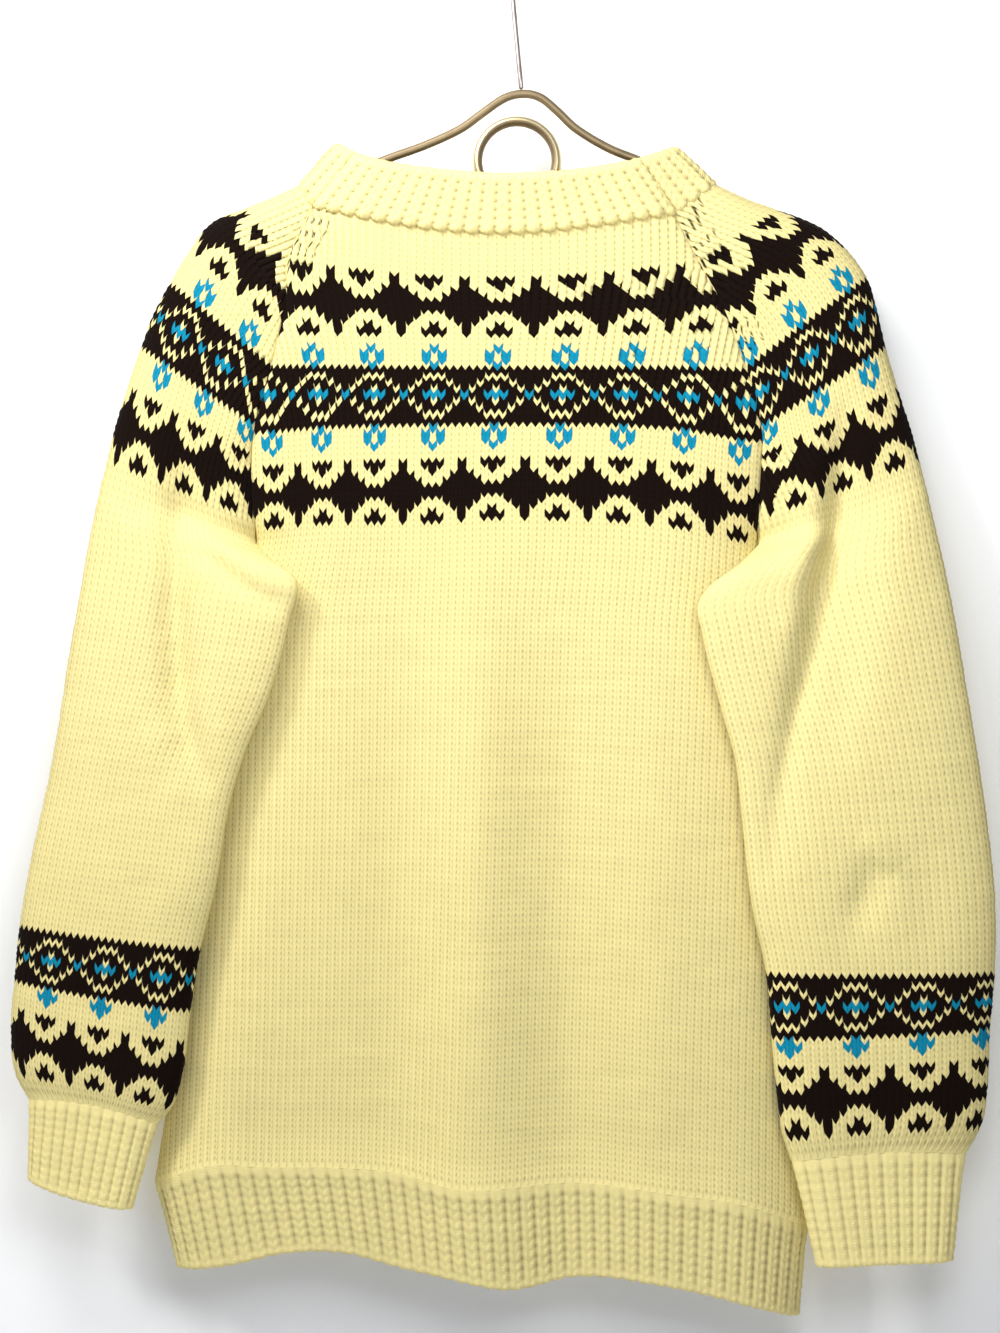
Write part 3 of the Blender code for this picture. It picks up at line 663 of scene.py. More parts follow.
# Long soft folds of the front: where each lies, how far it pushes back, and its half width. The
# next table says how they grow down the rows. The back has a share of them, the other way round.
BODY_FOLDS = [(-78.0, 4.5, 27.0), (-28.0, -5.5, 22.0), (26.0, 4.5, 26.0), (92.0, -2.5, 26.0)]
BODY_FOLDS_GROW = ([45, 95, 135, HEM_ROW], [0.0, 1.0, 1.0, 0.5])
BACK_FOLD_SHARE = -0.5
# How far the last rows flare out over the rib.
HEM_FLARE = ([147.0, 153.0, 156.0, 159.0], [0.0, 0.3, 1.3, 3.4])

SLEEVE_LEFT = [
    Section(0, -139.6, -170.3, 0.0, 13.5, 12.0),
    Section(4, -158.5, -179.4, 0.0, 15.0, 13.0),
    Section(9, -179.3, -187.8, 0.0, 16.0, 14.0),
    Section(14, -199.4, -196.6, 0.0, 16.5, 15.0),
    Section(19, -212.3, -213.4, -1.0, 17.0, 15.0),
    Section(25, -226.0, -236.5, -2.0, 17.0, 15.0),
    Section(30, -237.0, -257.8, -3.0, 17.5, 15.0),
    Section(34, -243.8, -277.2, -4.0, 18.0, 15.0),
    Section(40, -252.4, -304.0, -6.0, 18.0, 15.0, None, 0.55, 0.5),
    Section(45, -259.2, -326.9, -8.0, 17.0, 15.0, None, 0.49, 1.0),
    Section(50, -264.6, -350.5, -10.0, 16.0, 14.5, None, 0.48, 2.0),
    Section(53, -268.5, -368.0, -12.0, 15.0, 14.0, None, 0.48, 2.5),
    Section(56, -272.0, -385.0, -13.0, 11.5, 14.0, (-160.0, -21.0, -415.0), 0.52, 3.0),
    Section(60, -276.0, -407.0, -15.0, 9.5, 14.0, (-142.0, -32.0, -428.0), 0.57, 3.0),
    Section(66, -280.6, -436.0, -17.0, 10.0, 14.0, (-146.0, -32.0, -455.0), 0.54, 3.5),
    Section(78, -289.0, -486.0, -18.0, 10.5, 14.0, (-159.0, -31.5, -503.0), 0.44, 4.0),
    Section(86, -293.4, -518.0, -19.0, 11.0, 14.0, (-173.0, -31.0, -535.5), 0.31, 3.0),
    Section(94, -299.4, -551.0, -19.0, 12.0, 14.0, (-183.0, -30.0, -567.5), 0.2, 1.5),
    Section(108, -311.8, -609.0, -20.0, 13.0, 14.0, (-193.0, -29.0, -624.0)),
    Section(118, -318.7, -650.1, -20.0, 13.0, 14.0, (-202.6, -28.0, -663.4)),
    Section(127, -322.0, -684.0, -20.0, 13.0, 13.5, (-209.1, -27.0, -702.0)),
    Section(137, -324.0, -720.0, -20.5, 13.0, 13.0, (-214.6, -26.5, -743.5)),
    Section(142, -321.5, -743.0, -21.0, 12.0, 12.0, (-221.0, -26.0, -764.0)),
    Section(145, -313.4, -760.0, -21.5, 9.5, 9.5, (-230.0, -26.0, -774.5)),
]
SLEEVE_RIGHT = [
    Section(0, 125.7, -170.3, 0.0, 13.5, 12.0),
    Section(4, 148.4, -180.8, 0.0, 15.0, 13.0),
    Section(9, 169.9, -188.7, 0.0, 16.0, 14.0),
    Section(14, 194.0, -198.4, 0.0, 16.5, 15.0),
    Section(19, 211.0, -212.5, -1.0, 17.0, 15.0),
    Section(25, 225.5, -233.0, -2.0, 17.0, 15.0),
    Section(30, 231.8, -254.5, -3.0, 17.5, 15.0),
    Section(34, 236.8, -277.2, -4.0, 18.0, 15.0),
    Section(40, 244.6, -305.3, -6.0, 18.0, 15.0, None, 0.57, 1.0),
    Section(45, 251.7, -329.0, -8.0, 17.5, 15.0, None, 0.53, 3.0),
    Section(50, 257.1, -350.5, -10.0, 17.0, 14.5, None, 0.5, 4.5),
    Section(53, 261.0, -367.0, -12.0, 17.0, 14.0, None, 0.49, 6.0),
    Section(56, 264.6, -383.5, -13.0, 13.0, 14.0, (143.0, -20.0, -417.0), 0.5, 11.5),
    Section(60, 269.0, -404.0, -15.0, 11.0, 14.0, (121.0, -32.0, -433.0), 0.525, 13.0),
    Section(63, 272.4, -420.0, -16.0, 11.0, 14.0, (113.0, -34.0, -445.0), 0.5, 12.0),
    Section(67, 276.3, -439.5, -17.0, 11.0, 14.0, (115.6, -34.0, -463.0), 0.46, 10.0),
    Section(78, 285.4, -493.0, -18.0, 11.0, 14.0, (127.5, -33.0, -509.5), 0.32, 7.0),
    Section(86, 291.6, -532.0, -19.0, 11.5, 14.0, (137.0, -32.0, -544.0), 0.21, 4.5),
    Section(94, 297.4, -571.0, -19.0, 12.0, 14.0, (141.0, -31.0, -578.5), 0.12, 3.0),
    Section(108, 304.0, -636.0, -20.0, 13.0, 14.0, (148.0, -30.0, -637.0), 0.7, 2.5),
    Section(118, 303.6, -680.2, -20.0, 13.5, 14.0, (157.0, -29.0, -679.2)),
    Section(127, 300.6, -714.7, -20.0, 13.5, 13.5, (160.5, -28.0, -719.0)),
    Section(137, 298.6, -755.0, -20.5, 13.0, 13.0, (164.4, -27.0, -758.0)),
    Section(142, 294.6, -777.0, -21.0, 12.0, 12.0, (168.0, -26.5, -783.0)),
    Section(145, 285.8, -794.5, -21.5, 9.5, 9.5, (173.0, -26.5, -798.5)),
]
# Where the middles of nine motifs hang in the yoke, and how many rows they sag there.
REPEAT = 8
MIDDLE_STITCH = 0.5
MOTIF_LINES = [REPEAT * motif + MIDDLE_STITCH for motif in range(-4, 5)]
MOTIF_ROWS = [10, 17, 22, 29, 35, 41, 49]
MOTIF_X = [
    (-178.0, -139.5, -101.0, -57.4, -11.3, 34.6, 81.9, 125.4, 168.0),
    (-174.5, -136.5, -97.0, -54.5, -12.2, 32.6, 76.2, 118.4, 159.5),
    (-167.0, -132.6, -94.5, -54.1, -13.2, 30.1, 73.6, 114.6, 154.0),
    (-162.5, -129.4, -92.9, -54.5, -14.8, 28.2, 68.5, 108.8, 145.3),
    (-157.4, -126.5, -92.5, -55.0, -16.1, 26.0, 66.6, 106.2, 141.4),
    (-156.6, -125.8, -92.5, -55.4, -17.0, 25.0, 64.6, 104.3, 140.2),
    (-156.5, -125.3, -92.2, -55.7, -17.4, 24.6, 63.4, 103.0, 139.5),
]
SAG_ROWS = [22.5, 29, 35.5, 40.5, 48.5, 58, 66]
SAG = [
    (0.0, 0.0, 0.0, 0.0, 0.0, 0.0, 0.0, 0.0, 0.0),
    (0.0, 0.0, 0.0, 0.0, 0.0, 0.0, 0.0, 0.3, 1.1),
    (0.85, 0.3, 0.1, 0.1, 0.0, 0.0, 0.0, 0.5, 2.1),
    (1.1, 0.6, 0.45, 0.4, 0.0, 0.0, 0.0, 0.7, 2.6),
    (0.5, 0.3, 0.5, 0.6, 0.0, 0.0, 0.2, 1.0, 2.5),
    (0.25, 0.15, 0.25, 0.3, 0.0, 0.0, 0.1, 0.5, 1.2),
    (0.0, 0.0, 0.0, 0.0, 0.0, 0.0, 0.0, 0.0, 0.0),
]
SLEEVE_FOLD_HALF_WIDTH = 0.11
# How far a sleeve curves in towards its inner and its outer edge, as shares of its width.
INNER_ROUNDING = 0.3
OUTER_ROUNDING = 0.42
# The row from which a sleeve bows towards its cuff.
CUFF_BOW_ROW = 137


class ClothSurface:
    """A smooth sheet given by sections at knit rows.

    A place on it is a row and a share, which runs from 0 to 1 along the section.
    """

    SHARES = 241
    STEPS_IN_ROW = 2

    def __init__(self, rows: Sequence[float], sections: Array) -> None:
        """Fills the sheet between its sections.

        Args:
            rows: the rows of the sections.
            sections: for each of them, a point at every share.
        """
        self.last_row = float(rows[-1])
        step = 1 / self.STEPS_IN_ROW
        self.grid = eased(rows, sections, np.arange(0.0, self.last_row + 0.5 * step, step))

    def line(self, row: float) -> Array:
        """The points of a row, one for each share of the grid."""
        return self.at(np.full(self.SHARES, row), np.linspace(0.0, 1.0, self.SHARES))

    def length(self, row: float) -> float:
        """The length of a row."""
        return float(lengths_along(self.line(row))[-1])

    def at(self, rows: Array, shares: Array) -> Array:
        """The points at these rows and shares.

        Args:
            rows: knit rows.
            shares: shares along the sections.

        Returns:
            One point for each pair.
        """
        r = np.clip(rows, 0.0, self.last_row) * self.STEPS_IN_ROW
        c = np.clip(shares, 0.0, 1.0) * (self.SHARES - 1)
        r0 = np.clip(r.astype(int), 0, self.grid.shape[0] - 2)
        c0 = np.clip(c.astype(int), 0, self.SHARES - 2)
        fr, fc = (r - r0)[..., None], (c - c0)[..., None]
        top = self.grid[r0, c0] * (1 - fc) + self.grid[r0, c0 + 1] * fc
        low = self.grid[r0 + 1, c0] * (1 - fc) + self.grid[r0 + 1, c0 + 1] * fc
        return top * (1 - fr) + low * fr


@dataclass(frozen=True)
class Crease:
    """A soft trough (push > 0) or ridge along a line, in X and Z, tapering at its ends."""

    line: tuple[Pair, ...]
    push: float
    half_width: float
    taper: float = 0.02

    def depth(self, points: Array) -> Array:
        """How far a crease pushes the cloth back.

        Args:
            points: the cloth's points.

        Returns:
            The move of each of them.
        """
        path = np.array(self.line)
        place = points[..., [0, 2]]
        along_all = lengths_along(path)
        best = np.full(place.shape[:-1], np.inf)
        where = np.zeros(place.shape[:-1])
        for start, end, offset in zip(path, path[1:], along_all):
            step = end - start
            length = np.linalg.norm(step)
            t = np.clip(((place - start) @ step) / length**2, 0.0, 1.0)
            distance = np.linalg.norm(place - (start + t[..., None] * step), axis=-1)
            nearer = distance < best
            best = np.where(nearer, distance, best)
            where = np.where(nearer, offset + t * length, where)
        share = np.clip(where / along_all[-1], self.taper, 1 - self.taper)
        return self.push * np.sin(np.pi * share) ** 0.5 * np.exp(-((best / self.half_width) ** 2))


LEFT_FOLDS = (
    Crease(
        ((-216.0, -365.0), (-218.0, -400.0), (-219.0, -440.0), (-218.0, -480.0), (-213.0, -518.0),
         (-203.0, -545.0), (-188.0, -566.0)),
        6.0,
        10.0,
    ),
    Crease(((-141.0, -448.0), (-160.0, -441.0), (-182.0, -428.0), (-205.0, -408.0)), 5.0, 7.0),
)
RIGHT_FOLDS = (
    Crease(
        ((210.0, -322.0), (206.0, -366.0), (201.0, -408.0), (192.0, -435.0), (187.0, -462.0),
         (181.0, -491.0), (174.0, -516.0), (163.0, -569.0), (158.0, -612.0)),
        4.5,
        8.0,
    ),
    Crease(((193.0, -335.0), (184.0, -408.0), (174.0, -450.0), (162.0, -500.0)), -3.5, 11.0),
    Crease(((231.0, -340.0), (214.0, -440.0), (203.0, -500.0), (190.0, -560.0)), 5.0, 17.0),
    Crease(((228.0, -606.0), (219.0, -628.0), (211.0, -650.0)), 4.2, 13.0),
    Crease(((214.0, -590.0), (226.0, -598.0), (240.0, -612.0)), -2.6, 8.0),
)


def hem_curve(values: Sequence[float], x: Array) -> Array:
    """The hem's values, one for each of its waves, smoothly between them."""
    return eased([h.x for h in HEM], np.array(values), x)


def body_ends(side: Side, row: int) -> list[Triple]:
    """Where a row of the body ends.

    Args:
        side: the front or the back.
        row: the row.

    Returns:
        Its left and its right end, on the raglans and below them on the side seams.
    """
    low = max(0.0, (row - UNDERARM_ROW) / (HEM_ROW - UNDERARM_ROW))
    ends = []
    for table, hem in ((RAGLAN_LEFT, HEM[0]), (RAGLAN_RIGHT, HEM[-1])):
        if row <= UNDERARM_ROW:
            r = next(r for r in table if r.row == row)
            x, z = (r.front_x, r.front_z) if side == Side.FRONT else (r.back_x, r.back_z)
            ends.append((x, r.centre_y + side * r.half_y, z))
        else:
            r = table[-1]
            x = r.front_x + (hem.x - r.front_x) * low
            ends.append((x, SIDE_SEAM_Y, r.front_z + (hem.top_z - r.front_z) * low))
    return ends


def body_surface(side: Side) -> ClothSurface:
    """The front or the back of the body.

    Args:
        side: which one.

    Returns:
        The surface, whose shares run from the left seam to the right one.
    """
    front = side == Side.FRONT
    swing = [h.front_swing if front else h.back_swing for h in HEM]
    hem_middle_x = 0.5 * (HEM[0].x + HEM[-1].x)
    hem_middle_z = float(hem_curve([h.top_z for h in HEM], np.array([hem_middle_x]))[0])
    rows = [yoke.row for yoke in YOKE] + LOWER_ROWS
    sections = []
    for row in rows:
        low = max(0.0, (row - UNDERARM_ROW) / (HEM_ROW - UNDERARM_ROW))
        left, right = body_ends(side, row)
        middle_x = 0.5 * (left[0] + right[0])
        yoke = next((y for y in YOKE if y.row == row), YOKE[-1])
        middle_y, middle_z = (yoke.front_y, yoke.front_z) if front else (yoke.back_y, yoke.back_z)
        middle_y += (HEM_MIDDLE_Y[side] - middle_y) * low
        middle_z += (hem_middle_z - middle_z) * low
        x = left[0] + (right[0] - left[0]) * cosine_steps(BODY_POINTS)
        is_left = x < middle_x
        left_across = (middle_x - x) / (middle_x - left[0])
        across = np.where(is_left, left_across, (x - middle_x) / (right[0] - middle_x))
        power = NECK_CURVE_POWER if row == 0 else 2.0
        end_z = np.where(is_left, left[2], right[2])
        z = middle_z + (end_z - middle_z) * across**power
        hem_end_x = np.where(is_left, HEM[0].x, HEM[-1].x)
        hem_end_z = np.where(is_left, HEM[0].top_z, HEM[-1].top_z)
        x_at_hem = hem_middle_x + (hem_end_x - hem_middle_x) * across
        plain_z = hem_middle_z + (hem_end_z - hem_middle_z) * across**2
        z = z + (hem_curve([h.top_z for h in HEM], x_at_hem) - plain_z) * low**3
        near_left = rounded_end(x - left[0], SIDE_REACH)
        near_right = rounded_end(right[0] - x, SIDE_REACH)
        y = middle_y + (left[1] - middle_y) * near_left + (right[1] - middle_y) * near_right
        grown = np.interp(row, *BODY_FOLDS_GROW)
        moved = low**2 * hem_curve(swing, x_at_hem)
        for place, push, half_width in BODY_FOLDS:
            sized = push if front else BACK_FOLD_SHARE * push
            moved = moved + grown * sized * np.exp(-(((x - place) / half_width) ** 2))
        moved = moved + side * np.interp(row, *HEM_FLARE)
        y += moved * (1 - near_left) * (1 - near_right)
        sections.append(resample(np.column_stack([x, y, z]), ClothSurface.SHARES))
    return ClothSurface(rows, np.array(sections))


def sleeve_section(row: Section, seams: Mapping[int, Raglan], end_rise: float) -> Array:
    """One section of a sleeve.

    Args:
        row: its measures.
        seams: the rows of the seam that the cap meets.
        end_rise: how far the cuff bows the middle of the last row upwards.

    Returns:
        Its points from the front seam round the outer edge to the back seam.
    """
    if row.inner is None:
        seam = seams[row.row]
        front = np.array([seam.front_x, seam.centre_y, seam.front_z])
        back = np.array([seam.back_x, seam.centre_y, seam.back_z])
        seam_half = seam.half_y
    else:
        front = back = np.array(row.inner)
        seam_half = 0.0
    outer = np.array([row.outer_x, row.outer_y, row.outer_z])
    share = cosine_steps(SLEEVE_POINTS)[:, None]
    bow = (row.row - CUFF_BOW_ROW) / (SLEEVE_END_ROW - CUFF_BOW_ROW)
    rise = end_rise * float(np.clip(bow, 0.0, 1.0))
    middle_half = row.inner_half + (row.outer_half - row.inner_half) * share
    near_inner = rounded_end(share, INNER_ROUNDING)
    near_outer = rounded_end(1 - share, OUTER_ROUNDING)
    half = middle_half + (seam_half - middle_half) * near_inner - middle_half * near_outer
    halves = []
    for inner, side in ((front, Side.FRONT), (back, Side.BACK)):
        line = inner + (outer - inner) * share
        line[:, 1:2] += side * half
        if side == Side.FRONT:
            bell = np.exp(-(((share - row.fold_at) / SLEEVE_FOLD_HALF_WIDTH) ** 2))
            line[:, 1:2] += row.fold * bell * (1 - near_inner) * (1 - near_outer)
        line[:, 2:3] += rise * 4 * share * (1 - share)
        halves.append(resample(line, ClothSurface.SHARES // 2 + 1))
    return np.vstack([halves[0], halves[1][::-1][1:]])


def sleeve_surface(
    table: Sequence[Section],
    raglan: Sequence[Raglan],
    end_rise: float,
    creases: Sequence[Crease],
) -> ClothSurface:
    """One sleeve.

    Args:
        table: its sections.
        raglan: the seam that its cap meets.
        end_rise: how far the cuff bows the middle of the last row upwards.
        creases: the folds of its front.

    Returns:
        The surface, whose shares run from the front seam round the outer edge to the back seam.
    """
    seams = {r.row: r for r in raglan}
    sections = [sleeve_section(row, seams, end_rise) for row in table]
    surface = ClothSurface([row.row for row in table], np.array(sections))
    shares = np.linspace(0.0, 1.0, ClothSurface.SHARES)
    free = np.abs(np.sin(2 * np.pi * shares)) ** 0.5 * (shares < 0.5)
    for crease in creases:
        surface.grid[..., 1] += crease.depth(surface.grid) * free
    return surface


# ---- the chart ----


@dataclass(frozen=True)
class Band:
    """Charted rows of an eight-stitch repeat whose motif is centred on the fourth stitch."""

    rows: tuple[str, ...]

    def letter(self, row: int, stitch: int) -> str:
        """The yarn's letter at a row of the band and a stitch counted from a motif's middle."""
        return self.rows[row][(stitch + 3) % REPEAT]


LACE = Band(
    (
        "YYBBBYYB",
        "YYYBYYYB",
        "BYYYYYBB",
        "BBYYYBBB",
        "BBBBBBBB",
        "BBBBBBBB",
        "BBYYYBBB",
        "BYYYYYBB",
        "YYYBYYYB",
        "YYBBBYYB",
    )
)
MEDALLION = Band(
    (
        "BBBBBBBB",
        "BBYYYBBB",
        "BYBBBYBB",
        "YBBYBBYB",
        "BBTTTBBT",
        "YBBYBBYB",
        "BYBBBYBB",
        "BBYYYBBB",
        "BBBBBBBB",
    )
)
DAISY = Band(("YYYTYYYY", "YYTYTYYY", "YYTYTYYY", "YYYTYYYY"))
BUD = Band(("YYYTYYYY", "YYTTTYYY", "YYYTYYYY"))
YOKE_BANDS = [(9, LACE), (21, DAISY), (25, MEDALLION), (34, DAISY), (40, LACE)]
CUFF_BANDS = [(118, MEDALLION), (127, BUD), (132, LACE)]


def yarn_at(bands: Sequence[tuple[int, Band]], row: int, stitch: int) -> Yarn:
    """The yarn of one stitch.

    Args:
        bands: the charted bands, each with its first row.
        row: the stitch's row.
        stitch: its place, counted from a motif's middle.

    Returns:
        The yarn.
    """
    for first, band in bands:
        if first <= row < first + len(band.rows):
            letter = band.letter(row - first, stitch)
            return next(yarn for yarn in Yarn if yarn.letter == letter)
    return Yarn.YELLOW


# ---- knitting and relief ----


class ReliefTree:
    """Geometry Nodes that raise the yarn of a piece along its normals.

    The fine noise makes single legs of yarn uneven, and the broad one, which is longer along the
    rows, the cloth. Each has a stretch for X, Y and Z and a scale.
    """

    FINE = ((1.0, 1.0, 2.2), 330.0)
    BROAD = ((0.45, 1.0, 2.8), 48.0)

    def __init__(self, seed: int = 7) -> None:
        """Builds the tree with named inputs.

        Args:
            seed: the fixed seed of its noises where a piece gives none.
        """
        self.tree = bpy.data.node_groups.new("yarn_relief", "GeometryNodeTree")
        face = self.tree.interface
        face.new_socket("Geometry", in_out="INPUT", socket_type="NodeSocketGeometry")
        inputs = {
            "Relief": ("NodeSocketFloat", 0.001),
            "Unevenness": ("NodeSocketFloat", 0.3),
            "Waviness": ("NodeSocketFloat", 0.0003),
            "Seed": ("NodeSocketInt", seed),
            "Yarn": ("NodeSocketMaterial", None),
        }
        self.identifiers: dict[str, str] = {}
        for name, (kind, default) in inputs.items():
            socket = face.new_socket(name, in_out="INPUT", socket_type=kind)
            if default is not None:
                socket.default_value = default
            self.identifiers[name] = socket.identifier
        face.new_socket("Geometry", in_out="OUTPUT", socket_type="NodeSocketGeometry")
        graph = NodeGraph(self.tree)
        entry = graph.add("NodeGroupInput")
        position = graph.add("GeometryNodeInputPosition").outputs[0]
        normal = graph.add("GeometryNodeInputNormal").outputs[0]
        lift = self._attribute(graph, "lift")
        hold = self._attribute(graph, "hold")
        fine = self._noise(graph, entry, position, self.FINE)
        broad = self._noise(graph, entry, position, self.BROAD)
        unevenness = graph.signal(entry, "Unevenness")
        relief = graph.signal(entry, "Relief")
        raised = lift * relief * (1.0 + unevenness * fine)
        raised = (raised + graph.signal(entry, "Waviness") * broad) * hold
        scale = {"operation": "SCALE"}
        offset = graph.add("ShaderNodeVectorMath", scale, {0: normal, "Scale": raised}).outputs[0]
        values = {"Geometry": entry.outputs["Geometry"], "Offset": offset}
        moved = graph.add("GeometryNodeSetPosition", {}, values)
        real = graph.add("GeometryNodeRealizeInstances", {}, {0: moved.outputs[0]})
        values = {"Geometry": real.outputs[0], "Material": entry.outputs["Yarn"]}
        dressed = graph.add("GeometryNodeSetMaterial", {}, values)
        graph.add("NodeGroupOutput", {}, {0: dressed.outputs[0]})

    @staticmethod
    def _attribute(graph: NodeGraph, name: str) -> Signal:
        """A number that each point carries."""
        settings = {"data_type": "FLOAT"}
        return graph.signal(graph.add("GeometryNodeInputNamedAttribute", settings, {0: name}))

    @staticmethod
    def _noise(
        graph: NodeGraph,
        entry: bpy.types.Node,
        position: bpy.types.NodeSocket,
        pattern: tuple[Triple, float],
    ) -> Signal:
        """A seeded noise from about -1 to 1.

        Args:
            graph: the tree.
            entry: the tree's input node.
            position: each point's place.
            pattern: the noise's stretch and scale.

        Returns:
            The noise.
        """
        stretch, scale = pattern
        multiply = {"operation": "MULTIPLY"}
        vector = graph.add("ShaderNodeVectorMath", multiply, {0: position, 1: stretch}).outputs[0]
        values = {"Vector": vector, "W": entry.outputs["Seed"], "Scale": scale, "Detail": 1.0}
        noise = graph.add("ShaderNodeTexNoise", {"noise_dimensions": "4D"}, values)
        return (graph.signal(noise) - 0.5) * 2.0

    def apply(self, piece: bpy.types.Object, values: Mapping[str, Any]) -> bpy.types.Object:
        """Raises the piece's yarn and leaves it a plain mesh.

        Args:
            piece: the object, with the attributes lift and hold.
            values: the tree's inputs by name.

        Returns:
            The same object with its new mesh.
        """
        modifier = piece.modifiers.new("relief", "NODES")
        modifier.node_group = self.tree
        for name, value in values.items():
            modifier[self.identifiers[name]] = value
        graph = bpy.context.evaluated_depsgraph_get()
        mesh = bpy.data.meshes.new_from_object(piece.evaluated_get(graph))
        piece.modifiers.clear()
        old = piece.data
        piece.data = mesh
        bpy.data.meshes.remove(old)
        mesh.name = piece.name
        mesh.shade_smooth()
        return piece


@dataclass
class KnitMesh:
    """Gathers points, faces and their yarn, and becomes an object."""

    name: str
    points: Array
    lifts: Array
    holds: Array
    places: Array
    faces: Array
    colours: Array
    caps: tuple[Array, ...] = ()

    def build(self, outward: Callable[[Array], Array] | None) -> bpy.types.Object:
        """Makes the object.

        Args:
            outward: gives the outward direction at some points; none for a closed shell.

        Returns:
            An object with the attributes lift, hold and yarn and a UV map; lift is the yarn's
            height, which the yarn material also paints as shade.
        """
        used = np.unique(self.faces)
        number = np.full(len(self.points), -1)
        number[used] = np.arange(len(used))
        faces = number[self.faces]
        points, places = self.points[used], self.places[used]
        if outward is not None:
            corners = points[faces[:, :3]]
            normals = np.cross(corners[:, 1] - corners[:, 0], corners[:, 2] - corners[:, 1])
            if (normals * outward(corners.mean(axis=1))).sum() < 0:
                faces = faces[:, ::-1]
        caps = [number[cap] for cap in self.caps]
        made = mesh_object(self.name, points, faces.tolist() + [cap.tolist() for cap in caps])
        mesh = made.data
        for name, values in (("lift", self.lifts), ("hold", self.holds)):
            mesh.attributes.new(name, "FLOAT", "POINT").data.foreach_set("value", values[used])
        loops = np.concatenate([faces.reshape(-1), *caps])
        colours = np.repeat(self.colours, faces.shape[1], axis=0)
        colours = np.vstack([colours, *[np.tile(self.colours[0], (len(cap), 1)) for cap in caps]])
        colours = np.column_stack([colours, np.ones(len(colours))])
        yarn = mesh.attributes.new("yarn", "FLOAT_COLOR", "CORNER")
        yarn.data.foreach_set("color", colours.reshape(-1))
        uv = mesh.uv_layers.new(name="wales")
        uv.data.foreach_set("uv", places[loops].astype(np.float32).reshape(-1))
        weld(mesh, closed=outward is None)
        return made


def weld(mesh: bpy.types.Mesh, closed: bool) -> None:
    """Merges points that lie on each other and removes faces that shrank to nothing.

    Args:
        mesh: the mesh.
        closed: whether it is a closed shell, whose faces then all turn outwards.
    """
    builder = bmesh.new()
    builder.from_mesh(mesh)
    bmesh.ops.remove_doubles(builder, verts=builder.verts, dist=WELD)
    bmesh.ops.dissolve_degenerate(builder, edges=builder.edges, dist=0.5 * WELD)
    if closed:
        bmesh.ops.recalc_face_normals(builder, faces=builder.faces)
    builder.to_mesh(mesh)
    builder.free()


# How near to a seam, in shares of a row, a point is on it.
AT_SEAM = 1e-6


@dataclass(frozen=True)
class Openwork:
    """Small holes where a raglan seam has stretched the stitches beside it, sunk in and painted
    dark as shade.
    """

    first_row: float
    last_row: float
    distances: tuple[float, ...] = (1.5, 6.0, 11.0, 16.5)
    depths_and_shades: tuple[float, ...] = (1.2, 0.8, 0.8, 0.5)

    def pierce(self, row: float, along: Array, inside: Array, lift: Array) -> None:
        """Pushes the yarn in between stitches, where the yarn material also paints it dark as
        shade.

        Args:
            row: the row.
            along: how far each point of the row lies from the row's start.
            inside: which of its points may be pushed in.
            lift: the height of the yarn at each of them, which is changed.
        """
        if not self.first_row <= row <= self.last_row:
            return
        for distance, depth in zip(self.distances, self.depths_and_shades):
            gap = np.where(inside, np.abs(along - distance), np.inf)
            lift[int(np.argmin(gap))] = -depth


